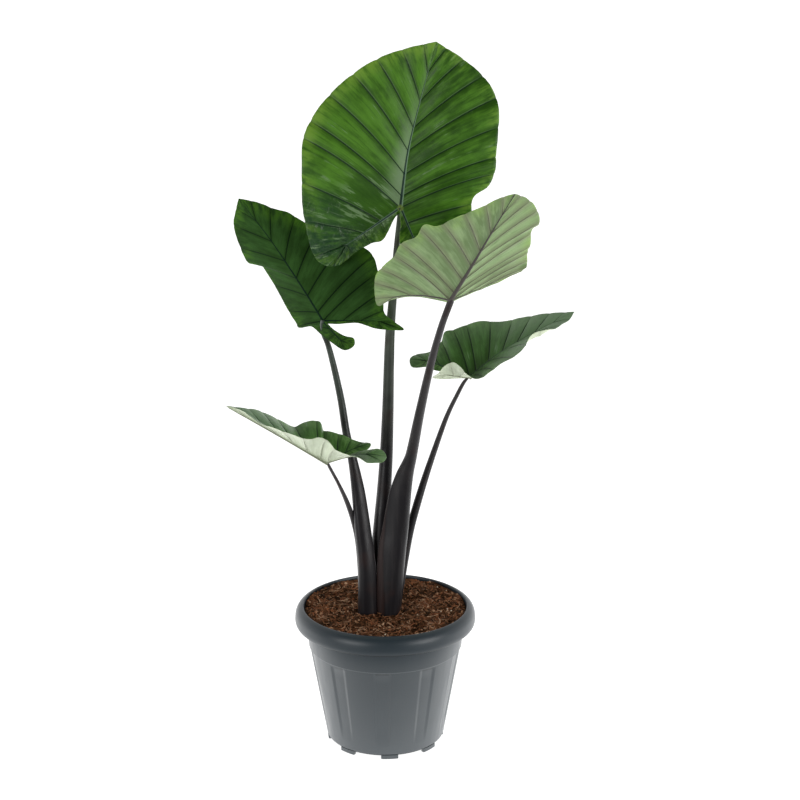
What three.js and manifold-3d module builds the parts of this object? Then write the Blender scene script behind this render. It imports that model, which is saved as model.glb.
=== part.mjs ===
// A potted alocasia: five shield leaves on dark sheathing stems, in a fluted nursery pot full of
// potting mix. Millimetres, +Z up. The origin is on the pot's axis, on the surface that the pot
// stands on. The viewer stands at -Y, and angles round the pot run from -Y towards +X.
import * as THREE from 'three';
import { mergeVertices } from 'three/addons/utils/BufferGeometryUtils.js';
import Module from 'manifold-3d';

const { Vector3, CatmullRomCurve3 } = THREE;
const wasm = await Module();
wasm.setup();

// Gaps kept between neighbouring pieces, and between a stem's end and its leaf.
const GAP = 0.4;
const LEAF_GAP = 0.8;

// Pot: moulded shell, 250 mm over its rolled collar and 196 mm tall, on low feet. Its wall widens
// from the heel to a small step, and then a plain band leads up to the collar.
const FOOT_HEIGHT = 4;
const SHELL = 3;
const FLOOR_RADIUS = 76;
const HEEL_HEIGHT = 10.5;
const HEEL_RADIUS = 82.6;
const STEP_HEIGHT = 138.5;
const STEP_RADIUS = 105;
const STEP_SIZE = [1.4, 2];
const BAND_TOP = 166.5;
const BAND_RADIUS = 108.4;

// The collar in section, as [radius, height]: its hollow, open below, and its outside from the
// lower lip over the crest to the throat inside the pot.
const COLLAR_HOLLOW = [[111, 176], [116, 191.5], [122, 181.5], [120.6, 174.4], [111.8, 171.4]];
const COLLAR_OUTSIDE = [[111.8, 168.6], [119, 169], [123.4, 171.4], [124.9, 175.6], [124.9, 181],
  [123.6, 187.8], [119.8, 193.4], [114, 196], [112.8, 194.4], [112.4, 186], [107.8, 174.6]];

// Shallow flutes in the wall. FLUTE_COLUMNS are the angles of the wall's columns from the middle
// of each flute: its floor reaches to the middle two and its sides to the next.
const FLUTES = 10;
const FLUTE_TURN = -2;
const FLUTE_DEPTH = 1.8;
const FLUTE_FLOOR = [20, 129];
const FLUTE_ENDS = [15, 133];
const FLUTE_COLUMNS = [-6.5, -4.8, 4.8, 6.5, 18];

const FEET = 8;
const FOOT_TURN = 4.6;
const FOOT_ANGLE = 17;
const FOOT_RADII = [75.5, 81.5];
const FOOT_OVERLAP = 2;
const DRAINS = 4;
const DRAIN_TURN = 30;
const DRAIN_RADIUS = 5;
const DRAIN_PLACE = 62;

// Potting mix: fills the pot nearly to its crest. Its top dips a little towards the middle and has
// lumps, each a swell of [height, turns along x, turns along y, shift].
const SOIL_TOP = 192;
const SOIL_CLEARANCE = 0.6;
const SOIL_EDGE = 111.6;
const SOIL_DIP = 3;
const SOIL_LUMPS = [[0.9, 0.15, -0.12, 2], [0.8, 0.083, 0.071, 0.9], [0.8, 0.083, -0.071, 1.7],
  [0.6, 0.09, 0.21, 1.6]];
const SOIL_RINGS = [1, 0.8, 0.6, 0.4, 0.22];

// Leaf blade: a thin sheet in two halves, each spanned by spokes from a rib to the margin. Spokes
// start at each vein and beside it, at the share BESIDE_VEIN of the way to the next, but not on
// the rib before FIRST_SPOKE or after LAST_SPOKE. On a lobe they end on the share LOBE_INNER of
// its margin on the notch side and LOBE_OUTER on the other. ROWS are the places along a spoke,
// with the second one NEAR_RIB from the rib where the spoke is long enough for that.
const BLADE = 1;
const MIDRIB_DEPTH = [3.4, 0.8];
const COSTA_DEPTH = [1.5, 0.8];
const RIB_PER_LENGTH = 0.25;
const VEIN_DEPTH = 1.2;
const VEIN_TAPER = 0.7;
const VEIN_SWEEP = 1.55;
const FULL_RELIEF_LENGTH = 40;
const MIDRIB_VEINS = [0, 0.07, 0.2, 0.34, 0.48, 0.64, 0.81, 1];
const COSTA_VEINS = [0, 0.36, 0.68, 1];
const BESIDE_VEIN = 0.18;
const FIRST_SPOKE = 0.07;
const LAST_SPOKE = 0.9;
const LOBE_INNER = 0.72;
const LOBE_OUTER = 0.84;
const ROWS = [0, 0.08, 0.36, 0.7, 1];
const NEAR_RIB = 2.5;
const NEAR_RIB_MOST = 0.3;
const CURVE_STEPS = 40;

// Each leaf: the point where its stem joins it, its heading, rise and roll in degrees, and its
// midrib and margins as [along, across, lift] from that point. A margin runs from the notch
// behind the stem, round the lobe (landmark number lobe), past the end of the first vein that
// leaves the stem (landmark number basal), to the tip. quilt is how far the blade bulges between
// two veins, wave how far its margin swings, crook how far a lobe's rib is lifted at its middle,
// and arch and bow are shares of a spoke's length.
const LEAVES = {
  top: {
    base: [20, -8, 751], heading: 31, rise: 76, roll: 60,
    arch: 0.03, bow: 0.04, quilt: 2.6, wave: 2.4,
    midrib: [[0, -1, 0], [72, 4, -11], [138, 2, -15], [217, -2, -1]],
    left: {
      lobe: 5, basal: 10, costa: [-62, 58, -18], crook: 0,
      margin: [[-7, -1, -3], [-13, 3, -2], [-46, 13, -10], [-52, 24, -13], [-62, 37, -18],
        [-95, 69, -30], [-89, 92, -24], [-61, 109, -12], [-26, 123, -2], [28, 135, 7],
        [62, 140, 5], [100, 130, 0], [142, 105, -3], [180, 68, -6], [203, 30, -7]],
    },
    right: {
      lobe: 4, basal: 10, costa: [-50, -37, -15], crook: 0,
      margin: [[-7, -1, -3], [-18, -5, -1], [-45, -10, -8], [-66, -23, -16], [-71, -49, -23],
        [-57, -77, -21], [-24, -90, -11], [10, -93, -2], [33, -91, 1], [50, -106, -1],
        [68, -111, -1], [99, -107, 3], [149, -99, 5], [169, -89, 1], [185, -73, -1],
        [203, -41, -3]],
    },
  },
  fore: {
    base: [85, -70, 642], heading: -24, rise: 59, roll: -59,
    arch: 0.02, bow: 0.03, quilt: 1.8, wave: 1.6,
    midrib: [[0, 0, 0], [63, -1, -5], [121, -1, -3], [166, 0, 0]],
    left: {
      lobe: 4, basal: 6, costa: [36, 45, 27], crook: 0,
      margin: [[-5, 3, 3], [5, 16, 13], [18, 37, 29], [36, 58, 39], [57, 72, 39], [72, 75, 29],
        [96, 62, 18], [111, 57, 12], [128, 48, 9], [141, 50, 5], [151, 45, 4], [164, 28, 2],
        [167, 14, 1]],
    },
    right: {
      lobe: 4, basal: 7, costa: [-44, -55, 38], crook: 9,
      margin: [[-5, 3, 3], [-19, -16, 22], [-35, -34, 40], [-54, -53, 48], [-67, -67, 41],
        [-49, -82, 37], [-26, -92, 36], [11, -86, 30], [32, -86, 29], [49, -75, 24],
        [69, -75, 22], [77, -62, 15], [99, -48, 11], [127, -29, 5], [155, -11, 1]],
    },
  },
  left: {
    base: [-82, 10, 596], heading: 171, rise: 55, roll: -90,
    arch: 0.03, bow: 0.03, quilt: 2, wave: 1.8,
    midrib: [[0, 0, 0], [56, -1, -7], [127, -2, -9], [196, -1, -1]],
    left: {
      lobe: 4, basal: 11, costa: [-34, -7, 7], crook: 0,
      margin: [[-6, -4, 3], [-16, -7, 6], [-31, -15, 9], [-41, -24, 10], [-49, -19, 9],
        [-48, -4, 7], [-29, 7, 2], [-16, 14, -5], [1, 22, -15], [5, 32, -23], [7, 39, -27],
        [10, 43, -29], [15, 42, -31], [32, 43, -36], [65, 41, -43], [98, 40, -47],
        [107, 41, -48], [118, 52, -43], [132, 50, -38], [144, 45, -31], [172, 31, -19],
        [186, 14, -10]],
    },
    right: {
      lobe: 5, basal: 10, costa: [-40, -62, -2], crook: 0,
      margin: [[-6, -4, 3], [-13, -13, 1], [-28, -39, 3], [-46, -54, 3], [-59, -70, 3],
        [-69, -85, 1], [-54, -80, -2], [-38, -74, -6], [-22, -81, -13], [-4, -87, -22],
        [11, -93, -29], [36, -98, -36], [60, -87, -38], [90, -67, -37], [118, -49, -32],
        [143, -39, -26], [157, -28, -22], [180, -14, -12]],
    },
  },
  right: {
    base: [116, 45, 510], heading: -2, rise: 33, roll: 15,
    arch: 0.02, bow: 0.03, quilt: 1.6, wave: 1.5,
    midrib: [[-1, 0, 0], [52, 4, 5], [107, 3, 4], [167, 0, 1]],
    left: {
      lobe: 5, basal: 10, costa: [-42, 38, 36], crook: 2,
      margin: [[-6, 1, 1], [-19, 10, 14], [-38, 19, 28], [-44, 25, 34], [-63, 34, 42],
        [-61, 44, 49], [-52, 54, 45], [-36, 60, 35], [-15, 69, 34], [-3, 75, 41], [7, 76, 37],
        [44, 73, 28], [70, 61, 16], [98, 46, 12], [131, 26, 8], [152, 11, 4]],
    },
    right: {
      lobe: 3, basal: 10, costa: [-22, -16, 30], crook: 0,
      margin: [[-6, 1, 1], [-17, -5, 12], [-33, -12, 27], [-40, -16, 37], [-31, -23, 41],
        [-15, -30, 49], [-2, -37, 51], [4, -46, 42], [7, -53, 30], [13, -59, 23],
        [24, -61, 21], [52, -60, 23], [68, -56, 20], [83, -50, 18], [96, -41, 18],
        [127, -26, 7], [144, -17, 3], [156, -9, -1]],
    },
  },
  low: {
    base: [-76, -45, 416], heading: -173, rise: 32, roll: 6,
    arch: 0.02, bow: 0.03, quilt: 1.4, wave: 1.2,
    midrib: [[0, 0, 0], [51, 2, 1], [102, 3, 1], [155, -1, 0]],
    left: {
      lobe: 7, basal: 14, costa: [-31, 35, 38], crook: 3,
      margin: [[-6, 0, 5], [-11, 5, 14], [-18, 12, 25], [-26, 19, 36], [-34, 25, 44],
        [-42, 33, 52], [-49, 40, 53], [-53, 48, 50], [-52, 55, 44], [-42, 61, 37],
        [-31, 63, 32], [-17, 64, 32], [-5, 65, 29], [5, 64, 27], [15, 63, 27], [31, 60, 32],
        [41, 60, 29], [48, 58, 22], [60, 53, 17], [89, 38, 10], [113, 24, 4], [131, 15, 6],
        [144, 6, 4]],
    },
    right: {
      lobe: 4, basal: 8, costa: [-24, -12, 32], crook: 0,
      margin: [[-6, 0, 5], [-13, -1, 14], [-27, -4, 27], [-40, -6, 41], [-41, -9, 49],
        [-27, -22, 42], [-5, -33, 38], [9, -41, 33], [17, -45, 30], [27, -49, 37],
        [35, -50, 34], [45, -51, 24], [54, -49, 14], [80, -42, 13], [112, -25, 12],
        [137, -8, 6]],
    },
  },
};

// Each stem, from its leaf down into the potting mix: [x, y, z, left, right, depth] of level
// sections, where left and right reach from the stem's own axis and the longer one is the thin
// wing of the sheath. A stem gives way to the stems that its sheath clasps.
const STEMS = {
  top: {
    clasps: [],
    sections: [[20, -6, 754, 3, 3, 3], [19, 2, 731, 3.1, 3.1, 3.1], [17, 9, 702, 4.2, 3.3, 3.3],
      [13, 20, 643, 5.8, 4.5, 4.5], [8, 26, 573, 7.5, 5.5, 5.5], [5, 25, 466, 9, 6.9, 6.9],
      [2, 22, 401, 9.6, 8.6, 8.4], [-1, 17, 357, 10.2, 9.5, 9.5], [-7, 6, 288, 11, 11, 10.5],
      [-12, -2, 203, 11, 11, 11], [-13, -2, 148, 9.5, 9.5, 10]],
  },
  fore: {
    clasps: ['top', 'right'],
    sections: [[87, -73, 650, 4, 4, 4], [85, -69, 639, 4.6, 4.6, 4.6], [75, -60, 608, 4.6, 4.6, 4.6],
      [62, -46, 556, 5.2, 5.2, 5.2], [47, -28, 481, 6.4, 6.4, 6.4], [36, -16, 419, 8, 8, 7.5],
      [30, -13, 390, 15, 9, 8], [27, -12, 363, 21, 9, 9], [22, -13, 309, 26, 10, 10],
      [19, -15, 282, 28, 10, 10.5], [13, -18, 226, 24.5, 11, 11], [10, -19, 191, 20.5, 10.5, 11],
      [9, -19, 148, 17, 10, 10]],
  },
  left: {
    clasps: ['fore', 'top', 'low'],
    sections: [[-83, 6, 602, 3.3, 3.3, 3.3], [-83, 15, 590, 3.5, 3.5, 3.5],
      [-81, 19, 574, 3.8, 3.8, 3.8], [-76, 19, 561, 4, 4, 4], [-60, 14, 491, 5, 5, 5],
      [-52, 9, 438, 5.3, 5.8, 5.3], [-44, 6, 401, 6, 7.4, 6], [-39, 0, 359, 6.6, 12.2, 7],
      [-33, -9, 307, 8.3, 14.3, 8.3],
      [-28, -16, 255, 9, 15.7, 9], [-28, -19, 193, 9.5, 16.5, 9.5], [-27, -19, 148, 9, 14, 9]],
  },
  right: {
    clasps: ['top'],
    sections: [[117, 46, 514, 2.5, 2.5, 2.5], [109, 45, 504, 2.9, 2.9, 2.9],
      [97, 42, 482, 3.2, 3.2, 3.2], [85, 38, 457, 3.5, 3.5, 3.5], [66, 29, 405, 4.4, 4.4, 4.4],
      [53, 20, 367, 5.2, 5.2, 5.2], [41, 11, 328, 5.8, 5.8, 5.8], [34, 6, 302, 6, 6, 6],
      [24, -2, 247, 6, 6, 6], [17, -5, 199, 6, 6, 6], [15, -5, 148, 5.5, 5.5, 5.5]],
  },
  low: {
    clasps: [],
    sections: [[-78, -47, 419, 2.3, 2.3, 2.3], [-73, -40, 407, 2.4, 2.4, 2.4],
      [-62, -25, 379, 2.6, 2.6, 2.6], [-51, -10, 347, 3.5, 3.5, 3.5], [-43, -1, 318, 4, 4, 4],
      [-37, 0, 290, 4.5, 4.5, 4.5], [-33, -3, 247, 5, 5, 5], [-32, -5, 198, 5, 5, 5],
      [-32, -5, 148, 4.5, 4.5, 4.5]],
  },
};
const STEM_SIDES = 12;
const RINGS_PER_SECTION = 2;
const SHEATH_THINNING = 0.8;

const MATERIALS = {
  pot: { color: 0x4d565c, roughness: 0.45, metalness: 0 },
  soil: { color: 0x4a2f20, roughness: 0.95, metalness: 0 },
  stem: { color: 0x2b2628, roughness: 0.4, metalness: 0 },
  leaf: { color: 0x2f6a1e, roughness: 0.42, metalness: 0 },
};

const radians = THREE.MathUtils.degToRad;

function geometryOf(points, triangles) {
  const geometry = new THREE.BufferGeometry();
  geometry.setAttribute('position', new THREE.Float32BufferAttribute(points.flatMap((p) => p.toArray()), 3));
  geometry.setIndex(triangles.flat());
  return geometry;
}

function solidOf(geometry) {
  const bare = geometry.clone();
  bare.deleteAttribute('normal');
  bare.deleteAttribute('uv');
  const merged = mergeVertices(bare, 1e-4);
  return new wasm.Manifold(new wasm.Mesh({
    numProp: 3,
    vertProperties: new Float32Array(merged.getAttribute('position').array),
    triVerts: new Uint32Array(merged.getIndex().array),
  }));
}

function geometryOfSolid(solid) {
  const mesh = solid.getMesh();
  const geometry = new THREE.BufferGeometry();
  geometry.setAttribute('position', new THREE.BufferAttribute(new Float32Array(mesh.vertProperties), 3));
  geometry.setIndex(new THREE.BufferAttribute(new Uint32Array(mesh.triVerts), 1));
  return geometry;
}

function largestBody(solid) {
  const bodies = solid.decompose();
  return bodies.reduce((best, body) => (body.volume() > best.volume() ? body : best));
}

// Closed skin over a stack of rings with equal numbers of points, each ring counterclockwise as
// seen from the last ring's side, closed by a fan at both ends.
function skinRings(rings) {
  const sides = rings[0].length;
  const points = rings.flat();
  const triangles = [];
  for (let ring = 0; ring < rings.length - 1; ring++) {
    for (let side = 0; side < sides; side++) {
      const next = (side + 1) % sides;
      const low = ring * sides;
      const high = low + sides;
      triangles.push([low + side, low + next, high + next], [low + side, high + next, high + side]);
    }
  }
  for (const [ring, outward] of [[0, false], [rings.length - 1, true]]) {
    const centre = points.length;
    const mean = rings[ring].reduce((sum, p) => sum.add(p), new Vector3());
    points.push(mean.divideScalar(sides));
    for (let side = 0; side < sides; side++) {
      const a = ring * sides + side;
      const b = ring * sides + (side + 1) % sides;
      triangles.push(outward ? [centre, a, b] : [centre, b, a]);
    }
  }
  return geometryOf(points, triangles);
}

function roundPot(radius, angle, z) {
  const turn = radians(angle);
  return new Vector3(radius * Math.sin(turn), -radius * Math.cos(turn), z);
}

// Columns of the pot's wall: crowded at each flute's edges, the rest on the panel beside it.
const potAngles = [];
for (let flute = 0; flute < FLUTES; flute++) {
  for (const column of FLUTE_COLUMNS) {
    potAngles.push(FLUTE_TURN + flute * 360 / FLUTES + column);
  }
}

function fluteDepthAt(angle, z) {
  const pitch = 360 / FLUTES;
  const offset = Math.abs(THREE.MathUtils.euclideanModulo(angle - FLUTE_TURN + pitch / 2, pitch) - pitch / 2);
  const inside = offset < -FLUTE_COLUMNS[0] - 0.01;
  const level = z > FLUTE_ENDS[0] + 0.01 && z < FLUTE_ENDS[1] - 0.01;
  return inside && level ? FLUTE_DEPTH : 0;
}

function wallRadius(z) {
  return THREE.MathUtils.mapLinear(z, HEEL_HEIGHT, STEP_HEIGHT, HEEL_RADIUS, STEP_RADIUS);
}

function pot() {
  const outside = [
    [FLOOR_RADIUS, FOOT_HEIGHT], [HEEL_RADIUS - 1.9, FOOT_HEIGHT + 2],
    ...[HEEL_HEIGHT, FLUTE_ENDS[0], FLUTE_FLOOR[0], FLUTE_FLOOR[1], FLUTE_ENDS[1], STEP_HEIGHT]
      .map((z) => [wallRadius(z), z]),
    [STEP_RADIUS + STEP_SIZE[0], STEP_HEIGHT + STEP_SIZE[1]], [BAND_RADIUS, BAND_TOP],
  ];
  const inside = [
    [BAND_RADIUS - SHELL, BAND_TOP - 0.5], [STEP_RADIUS - SHELL, STEP_HEIGHT - 0.5],
    [HEEL_RADIUS - SHELL, HEEL_HEIGHT + 0.5], [FLOOR_RADIUS, FOOT_HEIGHT + SHELL],
  ];
  const profile = [...outside, ...COLLAR_HOLLOW, ...COLLAR_OUTSIDE, ...inside];
  const rings = profile.map(([radius, z], row) => potAngles.map((angle) => {
    const flute = row < outside.length ? fluteDepthAt(angle, z) : 0;
    return roundPot(radius - flute, angle, z);
  }));
  let shell = solidOf(skinRings(rings));
  for (let foot = 0; foot < FEET; foot++) {
    const centre = FOOT_TURN + foot * 360 / FEET;
    const from = radians(centre - FOOT_ANGLE / 2 - 90);
    const to = radians(centre + FOOT_ANGLE / 2 - 90);
    const outline = new THREE.Shape();
    outline.absarc(0, 0, FOOT_RADII[1], from, to, false);
    outline.absarc(0, 0, FOOT_RADII[0], to, from, true);
    shell = shell.add(solidOf(new THREE.ExtrudeGeometry(outline, {
      depth: FOOT_HEIGHT + FOOT_OVERLAP, bevelEnabled: false, curveSegments: 3,
    })));
  }
  for (let drain = 0; drain < DRAINS; drain++) {
    const centre = DRAIN_TURN + drain * 360 / DRAINS;
    const hole = new THREE.CylinderGeometry(DRAIN_RADIUS, DRAIN_RADIUS, 4 * SHELL, 10);
    hole.rotateX(Math.PI / 2);
    hole.translate(...roundPot(DRAIN_PLACE, centre, FOOT_HEIGHT).toArray());
    shell = shell.subtract(solidOf(hole));
  }
  return geometryOfSolid(shell);
}

function soilHeight(x, y) {
  const dip = SOIL_DIP * (1 - (x * x + y * y) / SOIL_EDGE ** 2);
  return SOIL_LUMPS.reduce((height, [swell, alongX, alongY, shift]) => (
    height + swell * Math.sin(alongX * x + alongY * y + shift)), SOIL_TOP - dip);
}

function stemSolid(stem, grow) {
  const path = new CatmullRomCurve3(stem.sections.map(([x, y, z]) => new Vector3(x, y, z)));
  const size = new CatmullRomCurve3(stem.sections.map((s) => new Vector3(s[3], s[4], s[5])));
  const steps = (stem.sections.length - 1) * RINGS_PER_SECTION;
  const rings = [];
  for (let step = steps; step >= 0; step--) {
    const centre = path.getPoint(step / steps);
    const [left, right, depth] = size.getPoint(step / steps).toArray().map((v) => v + grow);
    const z = centre.z - (step === steps ? grow : 0);
    rings.push(Array.from({ length: STEM_SIDES }, (_, k) => {
      const turn = 2 * Math.PI * k / STEM_SIDES;
      const reach = Math.cos(turn) < 0 ? left : right;
      const thinning = SHEATH_THINNING * Math.max(0, 1 - depth / reach) * Math.cos(turn) ** 2;
      return new Vector3(centre.x + reach * Math.cos(turn),
        centre.y + depth * Math.sin(turn) * (1 - thinning), z);
    }));
  }
  return solidOf(skinRings(rings));
}

function soil(stems) {
  const [throat, mouth] = [COLLAR_OUTSIDE.at(-1), COLLAR_OUTSIDE.at(-2)];
  const clear = SHELL + SOIL_CLEARANCE;
  const wall = [
    [FLOOR_RADIUS - SOIL_CLEARANCE, FOOT_HEIGHT + clear], [HEEL_RADIUS - clear, HEEL_HEIGHT + 1.1],
    [STEP_RADIUS - clear, STEP_HEIGHT - 0.5], [BAND_RADIUS - clear, BAND_TOP - 0.2],
    [throat[0] - 0.8, throat[1] + 0.2], [mouth[0] - 1, mouth[1]],
  ];
  const rings = wall.map(([radius, z]) => potAngles.map((angle) => roundPot(radius, angle, z)));
  for (const share of SOIL_RINGS) {
    rings.push(potAngles.map((angle) => {
      const point = roundPot(SOIL_EDGE * share, angle, 0);
      return point.setZ(soilHeight(point.x, point.y));
    }));
  }
  let mix = solidOf(skinRings(rings));
  for (const stem of Object.values(stems)) {
    mix = mix.subtract(stemSolid(stem, GAP));
  }
  return geometryOfSolid(largestBody(mix));
}

// Places along a rib where spokes start: at each vein, and close beside it on both sides. between
// is the spoke's share of the way from one vein to the next, and 0 on a vein.
function stations(veins) {
  const list = [{ at: veins[0], between: 0 }];
  for (let k = 1; k < veins.length; k++) {
    for (const between of [BESIDE_VEIN, 1 - BESIDE_VEIN, 0]) {
      const share = between || 1;
      list.push({ at: veins[k - 1] + share * (veins[k] - veins[k - 1]), between });
    }
  }
  return list;
}

// Leaves out the stations so near either end of a rib that the blade would cross itself there.
function withoutCrowding(list) {
  return list.filter(({ at }) => at === 0 || at === 1 || (at >= FIRST_SPOKE && at <= LAST_SPOKE));
}

function curveThrough(landmarks) {
  const curve = new CatmullRomCurve3(landmarks.map((p) => new Vector3(...p)));
  curve.arcLengthDivisions = CURVE_STEPS * (landmarks.length - 1);
  return curve;
}

function shareAt(curve, landmark) {
  const lengths = curve.getLengths();
  return lengths[CURVE_STEPS * landmark] / lengths.at(-1);
}

// Spokes of one half: out along the lobe's rib on its inner side, back along its outer side, and
// then up the midrib. The margin point moves steadily from the notch to the tip.
function spokes(leaf, half) {
  const midrib = curveThrough(leaf.midrib);
  const margin = curveThrough([...half.margin, leaf.midrib.at(-1)]);
  const lobe = shareAt(margin, half.lobe);
  const basal = shareAt(margin, half.basal);
  const start = midrib.getPoint(0);
  const costaEnd = new Vector3(...half.costa);
  const costa = (at) => (
    start.clone().lerp(costaEnd, at).add(new Vector3(0, 0, half.crook * 4 * at * (1 - at))));
  const costaRib = (at) => THREE.MathUtils.lerp(...COSTA_DEPTH, at);
  const costaStations = withoutCrowding(stations(COSTA_VEINS));
  const list = costaStations.map(({ at, between }) => (
    { from: costa(at), to: margin.getPointAt(lobe * LOBE_INNER * at), between, rib: costaRib(at), bow: 0 }
  ));
  list[0].notch = true;
  list.push({ from: costa(1), to: margin.getPointAt(lobe), between: 0, rib: costaRib(1), bow: 0 });
  for (const { at, between } of costaStations.toReversed()) {
    const to = margin.getPointAt(lobe + (basal - lobe) * (1 - LOBE_OUTER * at));
    list.push({ from: costa(at), to, between, rib: costaRib(at), bow: leaf.bow * (1 - at) });
  }
  for (const { at, between } of withoutCrowding(stations(MIDRIB_VEINS)).slice(1)) {
    const to = margin.getPointAt(basal + (1 - basal) * (1 - (1 - at) ** VEIN_SWEEP));
    const rib = THREE.MathUtils.lerp(...MIDRIB_DEPTH, at);
    list.push({ from: midrib.getPointAt(at), to, between, rib, bow: leaf.bow });
  }
  return list;
}

// The blade: a middle sheet welded from both halves, then one skin above it and one, with the
// ribs, below it, both split into triangles alike, and a strip round the margin.
function blade(leaf, grow) {
  const weld = new Map();
  const sheet = [];
  const place = (point, rise, rib) => {
    const key = point.toArray().map((v) => Math.round(v * 1000)).join();
    if (!weld.has(key)) {
      weld.set(key, sheet.length);
      sheet.push({ point, rise, rib, normal: new Vector3() });
    }
    return weld.get(key);
  };
  const triangles = [];
  const border = [];
  for (const [half, isLeft] of [[leaf.left, true], [leaf.right, false]]) {
    const columns = spokes(leaf, half).map((spoke) => {
      const reach = spoke.to.clone().sub(spoke.from);
      const length = reach.length();
      const isTip = length < 1e-6;
      const onVein = spoke.between === 0 && !spoke.notch && !isTip;
      const bulge = 4 * spoke.between * (1 - spoke.between);
      const nearest = THREE.MathUtils.clamp(NEAR_RIB / length, ROWS[1], NEAR_RIB_MOST);
      return ROWS.map((row) => {
        const v = row === ROWS[1] ? nearest : row;
        const hump = 4 * v * (1 - v) * length;
        const share = v === 1 && !isTip ? 1 + grow / length : v;
        const point = spoke.from.clone().addScaledVector(reach, share);
        point.add(new Vector3(spoke.bow * hump, 0, leaf.arch * hump));
        const relief = Math.min(1, length / FULL_RELIEF_LENGTH);
        const rise = relief * bulge * (leaf.quilt * 4 * v * (1 - v) + leaf.wave * v ** 3);
        const veinDepth = onVein ? relief * VEIN_DEPTH * (1 - v) ** VEIN_TAPER : 0;
        const ribDepth = Math.min(spoke.rib, RIB_PER_LENGTH * length);
        return place(point, rise, v === 0 ? ribDepth : veinDepth);
      });
    });
    for (let c = 0; c < columns.length - 1; c++) {
      for (let r = 0; r < ROWS.length - 1; r++) {
        const [a, b, d, e] = [columns[c][r], columns[c][r + 1], columns[c + 1][r + 1], columns[c + 1][r]];
        for (const [p, q, s] of [[a, d, b], [a, e, d]]) {
          if (p !== q && q !== s && p !== s) {
            triangles.push(isLeft ? [p, q, s] : [p, s, q]);
          }
        }
      }
    }
    const rim = columns.map((column) => column.at(-1));
    border.push(...(isLeft ? rim : rim.reverse().slice(1, -1)));
  }
  for (const [a, b, c] of triangles) {
    const ab = sheet[b].point.clone().sub(sheet[a].point);
    const ac = sheet[c].point.clone().sub(sheet[a].point);
    const area = ab.cross(ac);
    [a, b, c].forEach((k) => sheet[k].normal.add(area));
  }
  sheet.forEach((knot) => knot.normal.normalize());
  const half = BLADE / 2 + grow;
  const upper = sheet.map(({ point, rise, normal }) => point.clone().addScaledVector(normal, rise + half));
  const lower = sheet.map(({ point, rise, rib, normal }) => (
    point.clone().addScaledVector(normal, rise - half - rib)));
  const count = sheet.length;
  const skins = [...triangles, ...triangles.map(([a, b, c]) => [a + count, c + count, b + count])];
  border.forEach((a, k) => {
    const b = border[(k + 1) % border.length];
    if (a !== b) {
      skins.push([a, b, b + count], [a, b + count, a + count]);
    }
  });
  return geometryOf([...upper, ...lower], skins);
}

function leafTurn(leaf) {
  return new THREE.Euler(radians(leaf.roll), -radians(leaf.rise), radians(leaf.heading), 'ZYX');
}

// A stem gives way to the stems that it clasps and ends a gap below its own leaf.
function stem(name) {
  let body = stemSolid(STEMS[name], 0);
  for (const inner of STEMS[name].clasps) {
    body = body.subtract(stemSolid(STEMS[inner], GAP));
  }
  const leaf = LEAVES[name];
  const placed = (grow) => solidOf(blade(leaf, grow)
    .applyMatrix4(new THREE.Matrix4().makeRotationFromEuler(leafTurn(leaf)))
    .translate(...leaf.base));
  return geometryOfSolid(largestBody(body.subtract(placed(LEAF_GAP)).subtract(placed(0))));
}

function mesh(name, geometry, finish) {
  const piece = new THREE.Mesh(geometry, new THREE.MeshStandardMaterial({ ...finish, name }));
  piece.name = name;
  return piece;
}

const plant = new THREE.Group();
plant.add(mesh('pot', pot(), MATERIALS.pot));
plant.add(mesh('soil', soil(STEMS), MATERIALS.soil));
for (const [name, leaf] of Object.entries(LEAVES)) {
  plant.add(mesh(`stem_${name}`, stem(name), MATERIALS.stem));
  const piece = mesh(`leaf_${name}`, blade(leaf, 0), MATERIALS.leaf);
  piece.position.set(...leaf.base);
  piece.rotation.copy(leafTurn(leaf));
  plant.add(piece);
}

export default plant;
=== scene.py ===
# A potted alocasia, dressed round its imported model: a fluted nursery pot, loose potting mix, five
# sheathing leaf stalks and five shield-shaped blades. Metres, +Z up, with the viewer at -Y.
import math

import bmesh
import bpy
import numpy as np
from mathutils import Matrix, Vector, noise


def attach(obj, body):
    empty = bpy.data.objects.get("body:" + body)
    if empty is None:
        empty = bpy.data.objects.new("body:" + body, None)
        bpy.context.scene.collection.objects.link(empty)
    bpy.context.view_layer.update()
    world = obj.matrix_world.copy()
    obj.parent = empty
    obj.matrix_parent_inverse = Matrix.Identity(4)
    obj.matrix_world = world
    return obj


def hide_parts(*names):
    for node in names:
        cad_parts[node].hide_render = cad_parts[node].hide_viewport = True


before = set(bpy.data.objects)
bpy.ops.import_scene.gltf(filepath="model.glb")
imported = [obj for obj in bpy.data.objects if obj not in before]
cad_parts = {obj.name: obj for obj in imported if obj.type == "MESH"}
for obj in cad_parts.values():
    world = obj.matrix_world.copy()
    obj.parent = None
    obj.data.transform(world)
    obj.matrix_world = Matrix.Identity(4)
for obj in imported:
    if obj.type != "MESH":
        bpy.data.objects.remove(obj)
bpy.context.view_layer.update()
MM = 0.001

# Pot
# A nursery pot of blue-grey polypropylene, injection moulded in one shot: a fluted wall on eight
# low feet with four drain holes in its floor, a plain band over a small step, and a hollow collar
# rolled out and down for the grower's hands.

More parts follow.
